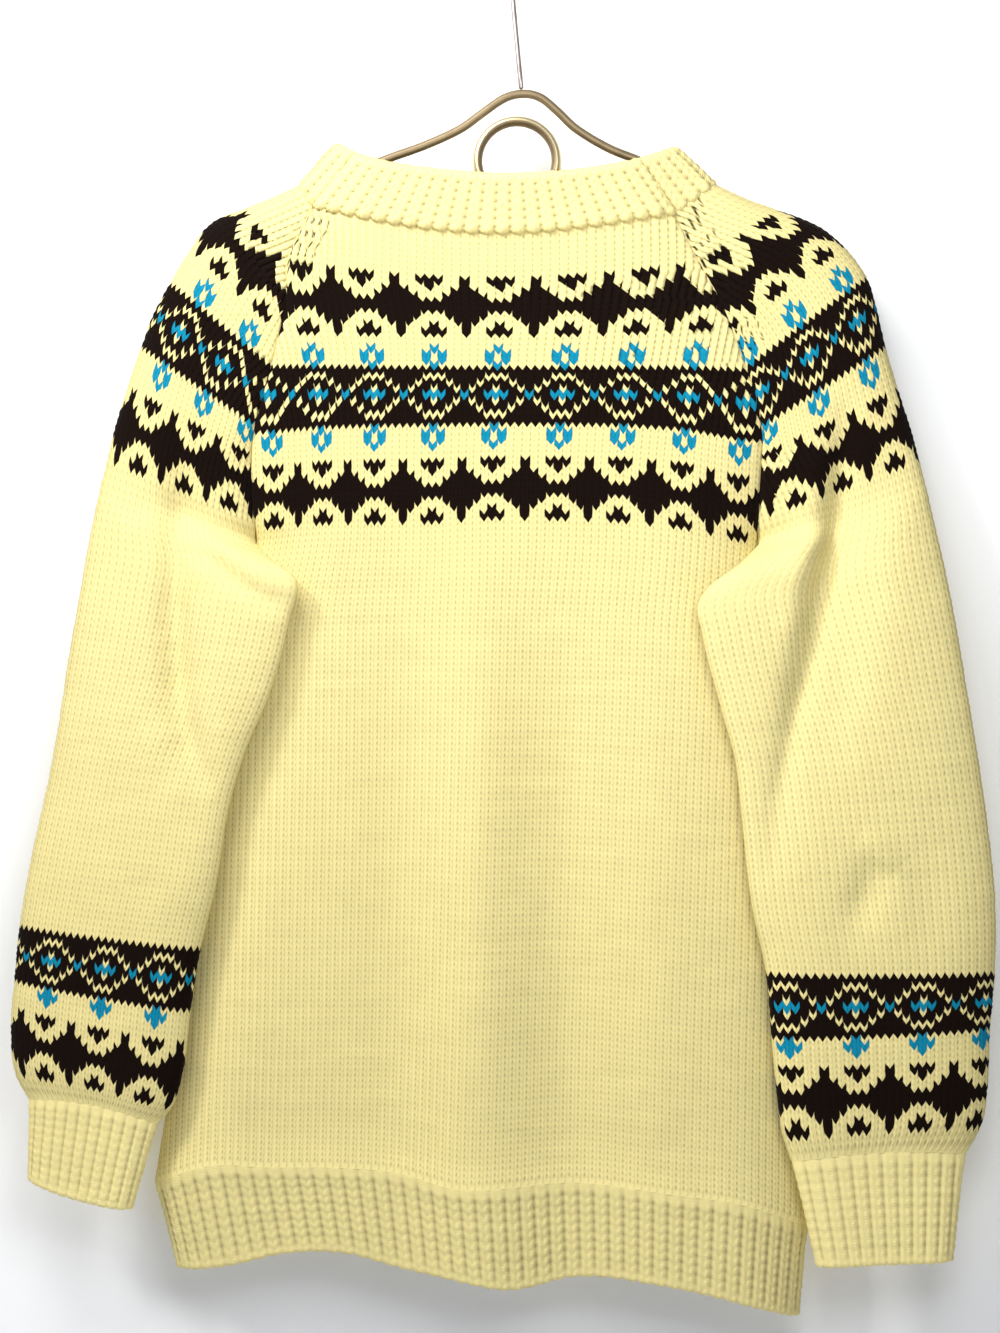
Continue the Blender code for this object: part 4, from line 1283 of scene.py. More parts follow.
@dataclass
class StitchGrid:
    """Stocking stitch over a surface: a V of two legs for each stitch.

    shares gives, for a row, the shares of the surface at which stitch lines lie. Row lines may
    drift from the surface's own rows. Where calm says so, and in the last row, the yarn is drawn to
    one height, which also evens out the shade painted from it.
    """

    name: str
    surface: ClothSurface
    rows: int
    first_stitch: int
    last_stitch: int
    shares: Callable[[float, Array], Array]
    drift: Callable[[float, Array, Array], Array]
    yarn: Callable[[int, int], Yarn]
    openwork: Sequence[Openwork] = ()
    calm: Callable[[float, Array], Array] | None = None
    slant: float = 0.45
    soft_until: float = 0.0
    softest: float = 0.35
    drawn_height: float = 0.85
    seam_hold: float = 90.0
    end_hold: float = 0.8
    least_hold: float = 0.1
    spread: Pair = (0.11, 0.14)
    leg_slants: tuple[float, ...] = (-1.0, 0.0, 1.0, 0.0)
    heights: tuple[tuple[float, ...], ...] = ((0.0, 0.6, 0.5, 0.6), (0.45, 1.0, 0.2, 1.0))

    def knit(self) -> KnitMesh:
        """Lays out the stitches.

        Returns:
            The layout.
        """
        parts, lines = len(self.leg_slants), len(self.heights)
        columns = (self.last_stitch - self.first_stitch) * parts + 1
        phase = np.arange(columns) % parts
        along = self.first_stitch + np.arange(columns) / parts
        slants = np.array(self.leg_slants)[phase] * self.slant
        yarns = self._yarns()
        sideways, downwards = self._spread(yarns, parts, lines)
        points, lifts, holds, places, ends = [], [], [], [], []
        for line in range(self.rows * lines + 1):
            row = line / lines
            shares = self.shares(row, along + sideways[line])
            free = min(row, self.rows - row, 1.0)
            wanted = row + (slants + downwards[line]) * free + self.drift(row, along, shares)
            points.append(self.surface.at(np.clip(wanted, 0.0, self.rows), shares))
            lifts.append(self._lift(row, np.array(self.heights[line % lines])[phase], shares))
            holds.append(self._hold(row, shares))
            places.append(np.column_stack([along, np.full(columns, -row)]))
            ends.append((shares <= AT_SEAM) * 1 + (shares >= 1 - AT_SEAM) * 2)
        number = np.arange(len(points) * columns).reshape(len(points), columns)
        shut = cell_corners(np.array(ends))
        keep = ~((shut == 1).all(axis=-1) | (shut == 2).all(axis=-1))
        row_of, column_of = np.nonzero(keep)
        colours = np.array([yarn.colour for yarn in Yarn])
        return KnitMesh(
            self.name,
            np.concatenate(points),
            np.concatenate(lifts),
            np.concatenate(holds),
            np.concatenate(places),
            cell_corners(number)[keep],
            colours[yarns[row_of // lines, column_of // parts]],
        )

    def _lift(self, row: float, heights: Array, shares: Array) -> Array:
        """The height of the yarn along a line.

        Args:
            row: the line's row.
            heights: the height of each of its points in a plain stitch.
            shares: where they lie on the surface.

        Returns:
            The heights, below 0 in openwork; the yarn material paints low heights darker as shade.
        """
        if row == self.rows:
            return np.full_like(heights, self.drawn_height)
        if row == int(row):
            inside = (shares > AT_SEAM) & (shares < 1 - AT_SEAM)
            for work in self.openwork:
                work.pierce(row, shares * self.surface.length(row), inside, heights)
        if self.calm is not None:
            heights += (self.drawn_height - heights) * self.calm(row, shares)
        return heights

    def _hold(self, row: float, shares: Array) -> Array:
        """How much of the relief each point of a line keeps, with less at seams and ends.

        Args:
            row: the line's row.
            shares: where its points lie on the surface.

        Returns:
            The shares of the relief.
        """
        held = np.clip(np.minimum(shares, 1 - shares) * self.seam_hold, 0.0, 1.0)
        held = held * float(np.clip((self.rows - row) * self.end_hold, self.least_hold, 1.0))
        soft = np.interp(row, [0.0, max(self.soft_until, 0.5)], [self.softest, 1.0])
        return held * (soft if self.soft_until else 1.0)

    def _yarns(self) -> Array:
        """The number of each stitch's yarn.

        Returns:
            The numbers, by row and stitch.
        """
        order = list(Yarn)
        rows, stitches = range(self.rows), range(self.first_stitch, self.last_stitch)
        return np.array([[order.index(self.yarn(row, n)) for n in stitches] for row in rows])

    def _spread(self, yarns: Array, parts: int, lines: int) -> tuple[Array, Array]:
        """How far the darker yarns spread over the yellow at each point.

        Args:
            yarns: each stitch's yarn.
            parts: the mesh columns in a stitch.
            lines: the mesh lines in a row.

        Returns:
            The points' moves, in stitches along the row and in rows.
        """
        dark = np.repeat(np.repeat(yarns > 0, lines, axis=0), parts, axis=1).astype(float)
        dark = np.pad(dark, 1, mode="edge")
        above, below = dark[:-1], dark[1:]
        sideways = (above[:, :-1] + below[:, :-1] - above[:, 1:] - below[:, 1:]) * 0.5
        downwards = (above[:, :-1] + above[:, 1:] - below[:, :-1] - below[:, 1:]) * 0.5
        return sideways * self.spread[0], downwards * self.spread[1]


class Knitter:
    """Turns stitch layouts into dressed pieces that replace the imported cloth.

    Waviness is how far the cloth swings, in millimetres.
    """

    FIRST_SEED = 3
    UNEVENNESS = 0.35
    WAVINESS = 0.5

    def __init__(self, wardrobe: Wardrobe) -> None:
        """Keeps the finishes and the relief tree.

        Args:
            wardrobe: the finishes.
        """
        self.relief = ReliefTree()
        self.wardrobe = wardrobe
        self.seed = self.FIRST_SEED

    def finish(
        self,
        layout: KnitMesh,
        outward: Callable[[Array], Array] | None,
        finish: KnitFinish,
        relief: float,
    ) -> bpy.types.Object:
        """Makes the piece.

        Args:
            layout: its stitches.
            outward: the outward direction at some points; none for a closed shell.
            finish: the yarn's finish.
            relief: the height of the yarn, in millimetres.

        Returns:
            The finished object.
        """
        piece = layout.build(outward)
        self.seed += 1
        values = {
            "Relief": relief * MM,
            "Unevenness": self.UNEVENNESS,
            "Waviness": self.WAVINESS * MM,
            "Seed": self.seed,
            "Yarn": self.wardrobe.of(finish),
        }
        return self.relief.apply(piece, values)


KNIT = KnitFinish("stocking_stitch_yarn")
NECK_RIBBING = KnitFinish("neck_ribbing_yarn", unevenness=0.08, groove=0.72)
# The hem and cuff ribbing are painted darker as shade by their tone, the hem most.
HEM_RIBBING = KnitFinish("hem_ribbing_yarn", unevenness=0.08, tone=0.88, groove=0.6)
CUFF_RIBBING = KnitFinish("cuff_ribbing_yarn", unevenness=0.08, tone=0.97, groove=0.52)


def declare(
    piece: bpy.types.Object,
    nodes: Sequence[str],
) -> None:
    """Tells the frame what a piece is, and logs it.

    Args:
        piece: the piece.
        nodes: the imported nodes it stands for.
    """
    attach(piece, ROOT)
    if nodes:
        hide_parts(*nodes)
    piece.data.calc_loop_triangles()
    LOG.info("%s: %d triangles", piece.name, len(piece.data.loop_triangles))


@dataclass
class BodyPanel:
    """The front or the back of the jumper's body."""

    side: Side
    name: str
    node: str
    flat: Pair
    area: float
    openwork: Sequence[Openwork] = ()
    first_stitch: int = -47
    last_stitch: int = 48
    relief: float = 0.95
    stitch_width: float = STITCH_WIDTH
    centre_line: tuple[Pair, Pair] = ((49.0, HEM_ROW), (-17.4, -28.0))
    settle_rows: float = 20.0
    surface: ClothSurface = field(init=False)

    def __post_init__(self) -> None:
        """Forms the cloth."""
        self.surface = body_surface(self.side)

    def shares(self, row: float, stitches: Array) -> Array:
        """The shares at which stitch lines lie in a row.

        Args:
            row: the row.
            stitches: stitch lines, counted from the middle motif.

        Returns:
            Their shares: stretched as the yoke is, and even below it.
        """
        line = self.surface.line(row)
        along = lengths_along(line)
        hung = np.array([np.interp(row, MOTIF_ROWS, column) for column in zip(*MOTIF_X)])
        beyond = np.minimum(hung - line[0, 0], 0.0) + np.maximum(hung - line[-1, 0], 0.0)
        knots = np.interp(hung, line[:, 0], along) + beyond
        inside = np.clip(stitches, MOTIF_LINES[0], MOTIF_LINES[-1])
        yoke = eased(MOTIF_LINES, knots, inside) + (stitches - inside) * self.stitch_width
        centre_x = np.interp(row, *self.centre_line)
        centre = np.interp(centre_x, line[:, 0], along)
        even = centre + (stitches - MIDDLE_STITCH) * self.stitch_width
        lower = float(np.clip((row - self.centre_line[0][0]) / self.settle_rows, 0.0, 1.0))
        lower = lower * lower * (3 - 2 * lower)
        steps = np.linspace(0, 1, ClothSurface.SHARES)
        return np.interp(yoke + (even - yoke) * lower, along, steps)

    def drift(self, row: float, stitches: Array, shares: Array) -> Array:
        """How many rows each stitch sags below its row."""
        sag = [np.interp(row, SAG_ROWS, column) for column in zip(*SAG)]
        return np.interp(stitches, MOTIF_LINES, sag)

    def build(self, knitter: Knitter) -> bpy.types.Object:
        """Knits the panel.

        Args:
            knitter: what knits it.

        Returns:
            The finished piece.
        """
        layout = StitchGrid(
            self.name,
            self.surface,
            HEM_ROW,
            self.first_stitch,
            self.last_stitch,
            self.shares,
            self.drift,
            lambda row, stitch: yarn_at(YOKE_BANDS, row, stitch),
            self.openwork,
        ).knit()
        towards = np.array([0.0, float(self.side), 0.0])
        piece = knitter.finish(layout, lambda points: towards, KNIT, self.relief)
        declare(piece, [self.node])
        return piece


# How far a sleeve's row lines climb at its seam and its stitches are drawn flat at the underarm,
# by rows, and where its middle plane lies along Y, by heights.
SEAM_DRIFT = ([0.0, 14.0, 29.5, 45.0, 53.0, 60.0, 145.0], [0.0, 0.0, 0.0, -2.0, -1.0, 0.0, 0.0])
UNDERARM_CALM = ([50.0, 55.0, 61.0, 67.0], [0.0, 0.3, 0.3, 0.0])
CALM_FROM = 0.25
CALM_WIDTH = 0.4
SLEEVE_MIDDLE = ([-660.0, -400.0, -260.0], [-24.0, -18.0, -2.0])


@dataclass
class Sleeve:
    """One sleeve with its cap, tube, yoke band and cuff band.

    cap_widths gives the width of a stitch at some rows of the cap, where the tube isn't yet
    closed. Phases say on which stitch, from the outer edge, a motif is centred.
    """

    name: str
    node: str
    table: Sequence[Section]
    raglan: Sequence[Raglan]
    end_rise: float
    yoke_phase: int
    cuff_phase: int
    flat: Pair
    area: float
    creases: Sequence[Crease] = ()
    openwork: Sequence[Openwork] = ()
    cap_widths: tuple[Pair, ...] = ((41, 4.9), (49, 4.6), (60, 4.6), (70, 4.9))
    half_stitches: int = 28
    tube_row: int = 70
    cuff_band_from: int = 100
    soft_until: float = 10.0
    relief: float = 0.95
    surface: ClothSurface = field(init=False)

    def __post_init__(self) -> None:
        """Forms the cloth."""
        self.surface = sleeve_surface(self.table, self.raglan, self.end_rise, self.creases)

    def shares(self, row: float, stitches: Array) -> Array:
        """The shares at which stitch lines lie in a row.

        Args:
            row: the row.
            stitches: stitch lines, counted from the outer edge to the front.

        Returns:
            Their shares.
        """
        along = lengths_along(self.surface.line(row))
        middle = along[ClothSurface.SHARES // 2]
        front, back = middle / self.half_stitches, (along[-1] - middle) / self.half_stitches
        if row < self.tube_row:
            width = float(np.interp(row, *zip(*self.cap_widths)))
            front, back = max(front, width), max(back, width)
        wanted = middle - np.where(stitches > 0, stitches * front, stitches * back)
        return np.interp(wanted, along, np.linspace(0, 1, ClothSurface.SHARES))

    def drift(self, row: float, stitches: Array, shares: Array) -> Array:
        """How far row lines climb towards the seam."""
        near = np.clip(np.abs(2 * shares - 1), 0, 1) ** 2
        return np.interp(row, *SEAM_DRIFT) * near

    @staticmethod
    def calm(row: float, shares: Array) -> Array:
        """How far the stitches are drawn flat below the underarm, from 0 to 1."""
        near = np.clip((np.abs(2 * shares - 1) - CALM_FROM) / CALM_WIDTH, 0.0, 1.0)
        return near * np.interp(row, *UNDERARM_CALM)

    def yarn(self, row: int, stitch: int) -> Yarn:
        """The yarn of a stitch counted from the outer edge."""
        phase = self.yoke_phase if row < self.cuff_band_from else self.cuff_phase
        return yarn_at(YOKE_BANDS + CUFF_BANDS, row, stitch - phase)

    def outward(self, points: Array) -> Array:
        """Away from the sleeve's middle plane.

        Args:
            points: points of the sleeve.

        Returns:
            A direction for each of them.
        """
        away = np.zeros_like(points)
        away[:, 1] = points[:, 1] - np.interp(points[:, 2], *SLEEVE_MIDDLE)
        return away

    def build(self, knitter: Knitter) -> bpy.types.Object:
        """Knits the sleeve.

        Args:
            knitter: what knits it.

        Returns:
            The finished piece.
        """
        layout = StitchGrid(
            self.name,
            self.surface,
            SLEEVE_END_ROW,
            -self.half_stitches,
            self.half_stitches,
            self.shares,
            self.drift,
            self.yarn,
            self.openwork,
            self.calm,
            soft_until=self.soft_until,
        ).knit()
        piece = knitter.finish(layout, self.outward, KNIT, self.relief)
        declare(piece, [self.node])
        return piece


# ---- ribs ----


@dataclass(frozen=True)
class RibShape:
    """The cross-section of one knit rib with its purl groove, and how it goes through a row."""

    heights: tuple[float, ...] = (0.0, 0.5, 0.93, 1.0, 0.72, 1.0, 0.93, 0.5)
    slants: tuple[float, ...] = (-0.3, -0.3, -0.2, 0.05, 0.36, 0.05, -0.2, -0.3)
    lines: tuple[float, ...] = (0.55, 0.88, 1.0, 0.88)
    bars: tuple[float, ...] = (0.0, 0.34, 0.46, 0.34)

    def lift(self, phase: Array, line: int, level: float) -> Array:
        """The height of the yarn at some columns of a line.

        Args:
            phase: each column's place in its rib.
            line: the line's number.
            level: how strongly it is ribbed; a smooth line is as high as the ribs.

        Returns:
            The heights, below 0 on the inner face, whose levels are below 0 too.
        """
        heights = np.array(self.heights)[phase]
        if level <= 0:
            return heights * level
        line = line % len(self.lines)
        raised = np.maximum(heights * self.lines[line], self.bars[line])
        return 1.0 - (1.0 - raised) * level


HEM_SHAPE = RibShape(
    slants=(-0.24, -0.24, -0.16, 0.04, 0.28, 0.04, -0.16, -0.24),
    lines=(0.62, 0.9, 1.0, 0.9),
    bars=(0.0, 0.16, 0.26, 0.16),
)
CUFF_SHAPE = RibShape(
    heights=(0.05, 0.6, 0.96, 1.0, 0.82, 1.0, 0.96, 0.6),
    slants=(-0.16, -0.16, -0.1, 0.04, 0.22, 0.04, -0.1, -0.16),
    lines=(0.7, 0.92, 1.0, 0.92),
    bars=(0.04, 0.16, 0.24, 0.16),
)


def ribbing(
    name: str,
    lines: Sequence[Array],
    rows: Sequence[float],
    levels: Sequence[float],
    ribs: int,
    shape: RibShape,
    closed: bool,
) -> KnitMesh:
    """Lays ribbing over a stack of lines, the last of which joins the first again.

    Args:
        name: the piece's name.
        lines: the cloth's lines from the first to the last, each with a point for every column.
        rows: each line's place, in rows, for the yarn's twist.
        levels: how strongly each line is ribbed, from 0 to 1.
        ribs: how many ribs there are.
        shape: the rib's cross-section.
        closed: whether the ribbing runs all the way round.

    Returns:
        The layout.
    """
    parts = len(shape.heights)
    columns = ribs * parts + (0 if closed else 1)
    phase = np.arange(columns) % parts
    slants = np.array(shape.slants)[phase] * len(shape.lines)
    stack = np.array(lines)
    points = stack.copy()
    for index in range(1, len(stack) - 1):
        if levels[index] > 0 and index + 1 < len(levels) and levels[index + 1] > 0:
            step = 0.5 * (stack[index + 1] - stack[index - 1])
            points[index] += step * slants[:, None] * levels[index]
    lifts = [shape.lift(phase, i, level) for i, level in enumerate(levels)]
    wales = np.arange(columns) / parts * 2
    places = [np.column_stack([wales, np.full(columns, -row)]) for row in rows]
    number = np.arange(len(stack) * columns).reshape(len(stack), columns)
    caps = () if closed else (number[:, 0], number[:, -1])
    number = np.vstack([number, number[0]])
    if closed:
        number = np.column_stack([number, number[:, 0]])
    quads = cell_corners(number).reshape(-1, 4)
    colours = np.tile(Yarn.YELLOW.colour, (len(quads), 1))
    points = points.reshape(-1, 3)
    lifts, places = np.concatenate(lifts), np.concatenate(places)
    return KnitMesh(name, points, lifts, np.ones(len(lifts)), places, quads, colours, caps)


def line_normals(line: Array, down: Array, closed: bool) -> Array:
    """Unit vectors square to a line and to the ribs' direction.

    Args:
        line: the line.
        down: the ribs' direction at each of its points.
        closed: whether it returns to its start.

    Returns:
        A vector for each point.
    """
    if closed:
        along = np.roll(line, -1, axis=0) - np.roll(line, 1, axis=0)
    else:
        along = np.gradient(line, axis=0)
    normals = np.cross(along, down)
    return normals / np.linalg.norm(normals, axis=1, keepdims=True)


@dataclass(frozen=True)
class FoldedRib:
    """A rib that starts tucked behind the cloth above it and turns in at its lower edge.

    tuck gives the lines behind the cloth: how far up each lies, how far behind, and its row. turn
    gives the lines round the lower edge: how far behind each lies and how far down. The outer face
    rolls out over the cloth's end at the row roll_at, and dips in before it. Its ribs fade in over
    the rows fade_in, and out by a share left at the edge and a share gained for each row.
    """

    rows: int
    relief: float
    roll: float
    roll_at: float = 0.9
    roll_rows: float = 1.1
    clear: float = 0.1
    dip: float = 0.25
    dip_decay: float = 2.5
    wall: float = 3.4
    scallop: float = 0.5
    overhang: float = 1.1
    smooth_rows: float = 0.0
    fade_in: float = 1.6
    fade_out: Pair = (0.55, 0.6)
    faint: float = 0.22
    tuck: tuple[Triple, ...] = ((5.0, 1.6, -1.2), (1.5, 0.7, -0.4))
    tuck_level: float = 0.01
    turn: tuple[Pair, ...] = ((0.5, 0.5), (1.2, 0.6), (1.8, 0.3))
    turn_rows: float = 0.4
    turn_level: float = 0.35
    # Below 0, the inner face sinks in and is painted darker as shade.
    inner_level: float = -0.4

    def lines(
        self, top: Array, bottom: Array, normals: Array, shape: RibShape
    ) -> tuple[list[Array], list[float], list[float]]:
        """Lines down the outer face, round the edge and up the inner face.

        Args:
            top: where the cloth above it ends.
            bottom: its lower edge.
            normals: outward directions.
            shape: the rib's cross-section.

        Returns:
            The lines, their rows and how strongly each is ribbed.
        """
        down = bottom - top
        down = down / np.linalg.norm(down, axis=1, keepdims=True)
        height = np.array(shape.heights)[np.arange(len(top)) % len(shape.heights)]
        end = bottom - down * (self.overhang + self.scallop * (1 - height))[:, None]
        lines = [top - down * up - normals * (self.relief + behind) for up, behind, _ in self.tuck]
        places = [row for _, _, row in self.tuck]
        levels = [self.tuck_level] * len(self.tuck)
        steps = len(shape.lines) * self.rows
        for k in range(steps + 1):
            row = k / steps * self.rows
            lines.append(top + (end - top) * (k / steps) + normals * self._out(row))
            places.append(row)
            levels.append(self._level(row))
        for behind, low in self.turn:
            lines.append(end + down * low - normals * (self.relief + behind))
            places.append(self.rows + self.turn_rows * behind)
            levels.append(self.turn_level)
        for k in range(self.rows, -1, -1):
            lines.append(top + (end - top) * k / self.rows - normals * self.wall)
            places.append(float(k))
            levels.append(self.inner_level)
        return lines, places, levels

    def _out(self, row: float) -> float:
        """How far a row of the outer face stands out."""
        rolled = self.roll * math.exp(-(((row - self.roll_at) / self.roll_rows) ** 2))
        return rolled - self.relief + self.clear - self.dip * math.exp(-self.dip_decay * row)

    def _level(self, row: float) -> float:
        """How strongly a row of the outer face is ribbed.

        Args:
            row: the row.

        Returns:
            The level, from 0 to 1.
        """
        least, gain = self.fade_out
        level = float(np.clip((row - self.smooth_rows) / self.fade_in, self.faint, 1.0))
        return level * float(np.clip(least + (self.rows - row) * gain, 0.0, 1.0))


@dataclass
class HemRib:
    """The rib under one body panel."""

    panel: BodyPanel
    name: str
    node: str
    flat: Pair = (0.46, 0.06)
    ribs: int = 47
    fold: FoldedRib = FoldedRib(10, 1.6, 0.6, smooth_rows=-0.3, faint=0.42)
    shape: RibShape = HEM_SHAPE

    def build(self, knitter: Knitter) -> bpy.types.Object:
        """Knits the rib.

        Args:
            knitter: what knits it.

        Returns:
            The finished piece.
        """
        columns = self.ribs * len(self.shape.heights) + 1
        top = resample(self.panel.surface.grid[-1], columns)
        share = (top[:, 0] - top[0, 0]) / (top[-1, 0] - top[0, 0])
        x = HEM_BOTTOM_X[0] + (HEM_BOTTOM_X[1] - HEM_BOTTOM_X[0]) * share
        z = hem_curve([h.bottom_z for h in HEM], top[:, 0])
        bottom = np.column_stack([x, top[:, 1], z])
        normals = line_normals(top, bottom - top, closed=False)
        normals *= np.sign(normals[columns // 2, 1] * self.panel.side)
        parts = self.fold.lines(top, bottom, normals, self.shape)
        layout = ribbing(self.name, *parts, self.ribs, self.shape, closed=False)
        piece = knitter.finish(layout, None, HEM_RIBBING, self.fold.relief)
        declare(piece, [self.node])
        return piece


class CuffEdge(NamedTuple):
    """A cuff's lower edge."""

    inner_x: float
    inner_z: float
    outer_x: float
    outer_z: float
    inner_y: float
    outer_y: float
    half_y: float
    middle_rise: float


@dataclass
class Cuff:
    """The ribbed cuff under one sleeve."""

    sleeve: Sleeve
    name: str
    node: str
    edge: CuffEdge
    flat: Pair = (0.2, 0.065)
    ribs: int = 24
    edge_rounding: float = 0.2
    edge_points: int = 160
    fold: FoldedRib = FoldedRib(11, 1.5, 0.35, smooth_rows=-0.4, faint=0.3)
    shape: RibShape = CUFF_SHAPE

    def build(self, knitter: Knitter) -> bpy.types.Object:
        """Knits the cuff.

        Args:
            knitter: what knits it.

        Returns:
            The finished piece.
        """
        columns = self.ribs * len(self.shape.heights)
        top = resample(self.sleeve.surface.grid[-1][:-1], columns, closed=True)
        edge = self.edge
        inner = np.array([edge.inner_x, edge.inner_y, edge.inner_z])
        outer = np.array([edge.outer_x, edge.outer_y, edge.outer_z])
        share = cosine_steps(self.edge_points)[:, None]
        reach = self.edge_rounding
        rounding = rounded_end(share, reach) + rounded_end(1 - share, reach)
        halves = []
        for side in Side:
            line = inner + (outer - inner) * share
            line[:, 1:2] += side * edge.half_y * (1 - rounding)
            line[:, 2:3] += edge.middle_rise * 4 * share * (1 - share)
            halves.append(line)
        ring = np.vstack([halves[0], halves[1][::-1][1:-1]])
        bottom = resample(ring, columns, closed=True)
        normals = line_normals(top, bottom - top, closed=True)
        if normals[columns // 4, 1] > 0:
            normals = -normals
        parts = self.fold.lines(top, bottom, normals, self.shape)
        layout = ribbing(self.name, *parts, self.ribs, self.shape, closed=True)
        piece = knitter.finish(layout, None, CUFF_RIBBING, self.fold.relief)
        declare(piece, [self.node])
        return piece


NECK_TOP = [
    (-116.2, 0.0, -145.6), (-112.5, -8.5, -149.5), (-100.8, -15.5, -156.2), (-81.3, -19.5, -161.8),
    (-46.6, -22.5, -167.2), (-12.2, -23.5, -169.8), (23.6, -22.5, -168.3), (55.6, -20.5, -163.9),
    (77.7, -16.5, -158.4), (92.6, -9.5, -152.0), (99.0, 0.0, -147.8), (90.0, 9.0, -150.5),
    (46.9, 12.5, -158.6), (-12.2, 13.5, -162.6), (-64.7, 12.5, -158.4), (-107.0, 9.0, -149.2),
]


@dataclass
class Neckband:
    """The rib round the neck, folded double over its own inside.

    Beside the sleeves it stands less proud and is less scalloped, by the share beside_sleeve, and
    it changes over between blend_from and blend_to, counted from the raglan. behind_foot gives the
    lines tucked in behind its foot: each one's share of the height, its share of the thickness from
    the inside, and how strongly it is ribbed. over_top gives the first two for the fold's lines.
    """

    front: BodyPanel
    back: BodyPanel
    left: Sleeve
    right: Sleeve
    flat: Pair = (0.485, 0.064)
    ribs: int = 60
    rows: int = 6
    thickness: float = 6.2
    proud: float = 2.4
    relief: float = 1.5
    scallop: float = 1.5
    foot_drop: float = 2.4
    beside_sleeve: float = 0.15
    blend_from: float = -4.0
    blend_to: float = 6.0
    settle: float = 1.6
    shape: RibShape = RibShape()
    fold_level: float = 0.7
    face: Pair = (0.02, 0.88)
    behind_foot: tuple[Triple, ...] = ((0.10, 0.3, 0.3), (0.0, 0.62, 0.6))
    over_top: tuple[Pair, ...] = (
        (0.93, 0.93), (0.98, 0.75), (1.0, 0.5), (0.98, 0.25), (0.93, 0.08)
    )

    def build(self, knitter: Knitter) -> bpy.types.Object:
        """Knits the neckband.

        Args:
            knitter: what knits it.

        Returns:
            The finished piece.
        """
        columns = self.ribs * len(self.shape.heights)
        foot, top = self._edges(columns)
        rise = top - foot
        up = rise / np.linalg.norm(rise, axis=1, keepdims=True)
        normals = line_normals(foot, rise, closed=True)
        if normals[columns // 8, 1] > 0:
            normals = -normals
        height = np.array(self.shape.heights)[np.arange(columns) % len(self.shape.heights)]
        blend = self.blend_to - self.blend_from
        left, right = RAGLAN_LEFT[0].front_x, RAGLAN_RIGHT[0].front_x
        body = np.clip((foot[:, 0] - left - self.blend_from) / blend, 0.0, 1.0)
        body = body * np.clip((right - self.blend_from - foot[:, 0]) / blend, 0.0, 1.0)
        body = (self.beside_sleeve + (1 - self.beside_sleeve) * body)[:, None]
        foot = foot + up * (self.scallop * body[:, 0] * (1 - height) - self.foot_drop)[:, None]
        lines, places, levels = [], [], []
        for share, out, level in self._profile():
            settled = self.proud * (body + (1 - body) * min(share * self.settle, 1.0))
            offset = settled - self.thickness * (1 - out)
            lines.append(foot + (top - foot) * share + normals * offset)
            places.append(share * self.rows)
            levels.append(level)
        parts = (lines, places, levels)
        layout = ribbing("neckband_knit", *parts, self.ribs, self.shape, closed=True)
        piece = knitter.finish(layout, None, NECK_RIBBING, self.relief)
        declare(piece, ["neckband"])
        return piece

    def _edges(self, columns: int) -> tuple[Array, Array]:
        """The neckband's foot and its top.

        Args:
            columns: how many points each has.

        Returns:
            Both lines, whose points lie over each other.
        """
        pieces = [
            self.front.surface.grid[0],
            self.right.surface.grid[0][1:-1],
            self.back.surface.grid[0][::-1],
            self.left.surface.grid[0][::-1][1:-1],
        ]
        foot = resample(np.vstack(pieces), columns, closed=True)
        path = smooth_path(NECK_TOP, 16, closed=True)
        turns = range(0, len(path), 2)
        tops = [resample(np.roll(path, -turn, axis=0), columns, closed=True) for turn in turns]
        return foot, min(tops, key=lambda line: np.abs(line[:, :2] - foot[:, :2]).sum())

    def _profile(self) -> list[Triple]:
        """The lines of the section, from inside the foot up the outer face and down the inner one.

        Returns:
            For each its share of the height, its share of the thickness and how strongly it is
            ribbed.
        """
        rows, level = self.rows, self.fold_level
        low, high = self.face
        steps = len(self.shape.lines) * rows
        outer = [(low + (high - low) * k / (steps - 1), 1.0, 1.0) for k in range(steps)]
        over = [(share, out, level) for share, out in self.over_top]
        inner = [(high - (high - low) * k / (rows - 1), 0.0, level) for k in range(rows)]
        return [*self.behind_foot, *outer, *over, *inner]


# ---- hanger ----

BRONZE = MetalFinish("hanger_bronze_satin", (0.25, 0.19, 0.11), (0.16, 0.12, 0.07), 0.46, 0.8)
GOLD = MetalFinish("ring_gold_satin", (0.78, 0.68, 0.42), (0.58, 0.47, 0.26), 0.3, 0.9)
STEEL = MetalFinish("hook_wire", (0.46, 0.41, 0.39), (0.17, 0.13, 0.12), 0.34, 0.9)

HANGER_BAR = [
    (-193.0, -201.0), (-177.0, -194.4), (-156.5, -185.6), (-137.0, -177.4), (-116.2, -167.9),
    (-87.6, -154.9), (-61.9, -145.6), (-38.8, -135.1), (-24.5, -125.0), (-14.0, -117.4),
    (-6.5, -113.4), (1.2, -111.8), (9.0, -112.3), (16.5, -115.6), (26.2, -124.0),
    (37.6, -134.6), (58.1, -146.9), (80.2, -155.9), (103.0, -167.0), (123.0, -177.6),
    (145.8, -187.2), (167.8, -195.0), (188.0, -202.8),
]
# How long a bar's rounded end is, as a share of its radius, and the section's size along it.
CAP_LENGTH = 0.6
CAP_STEPS = ((0.0, 0.02), (0.25, 0.5), (0.6, 0.85))


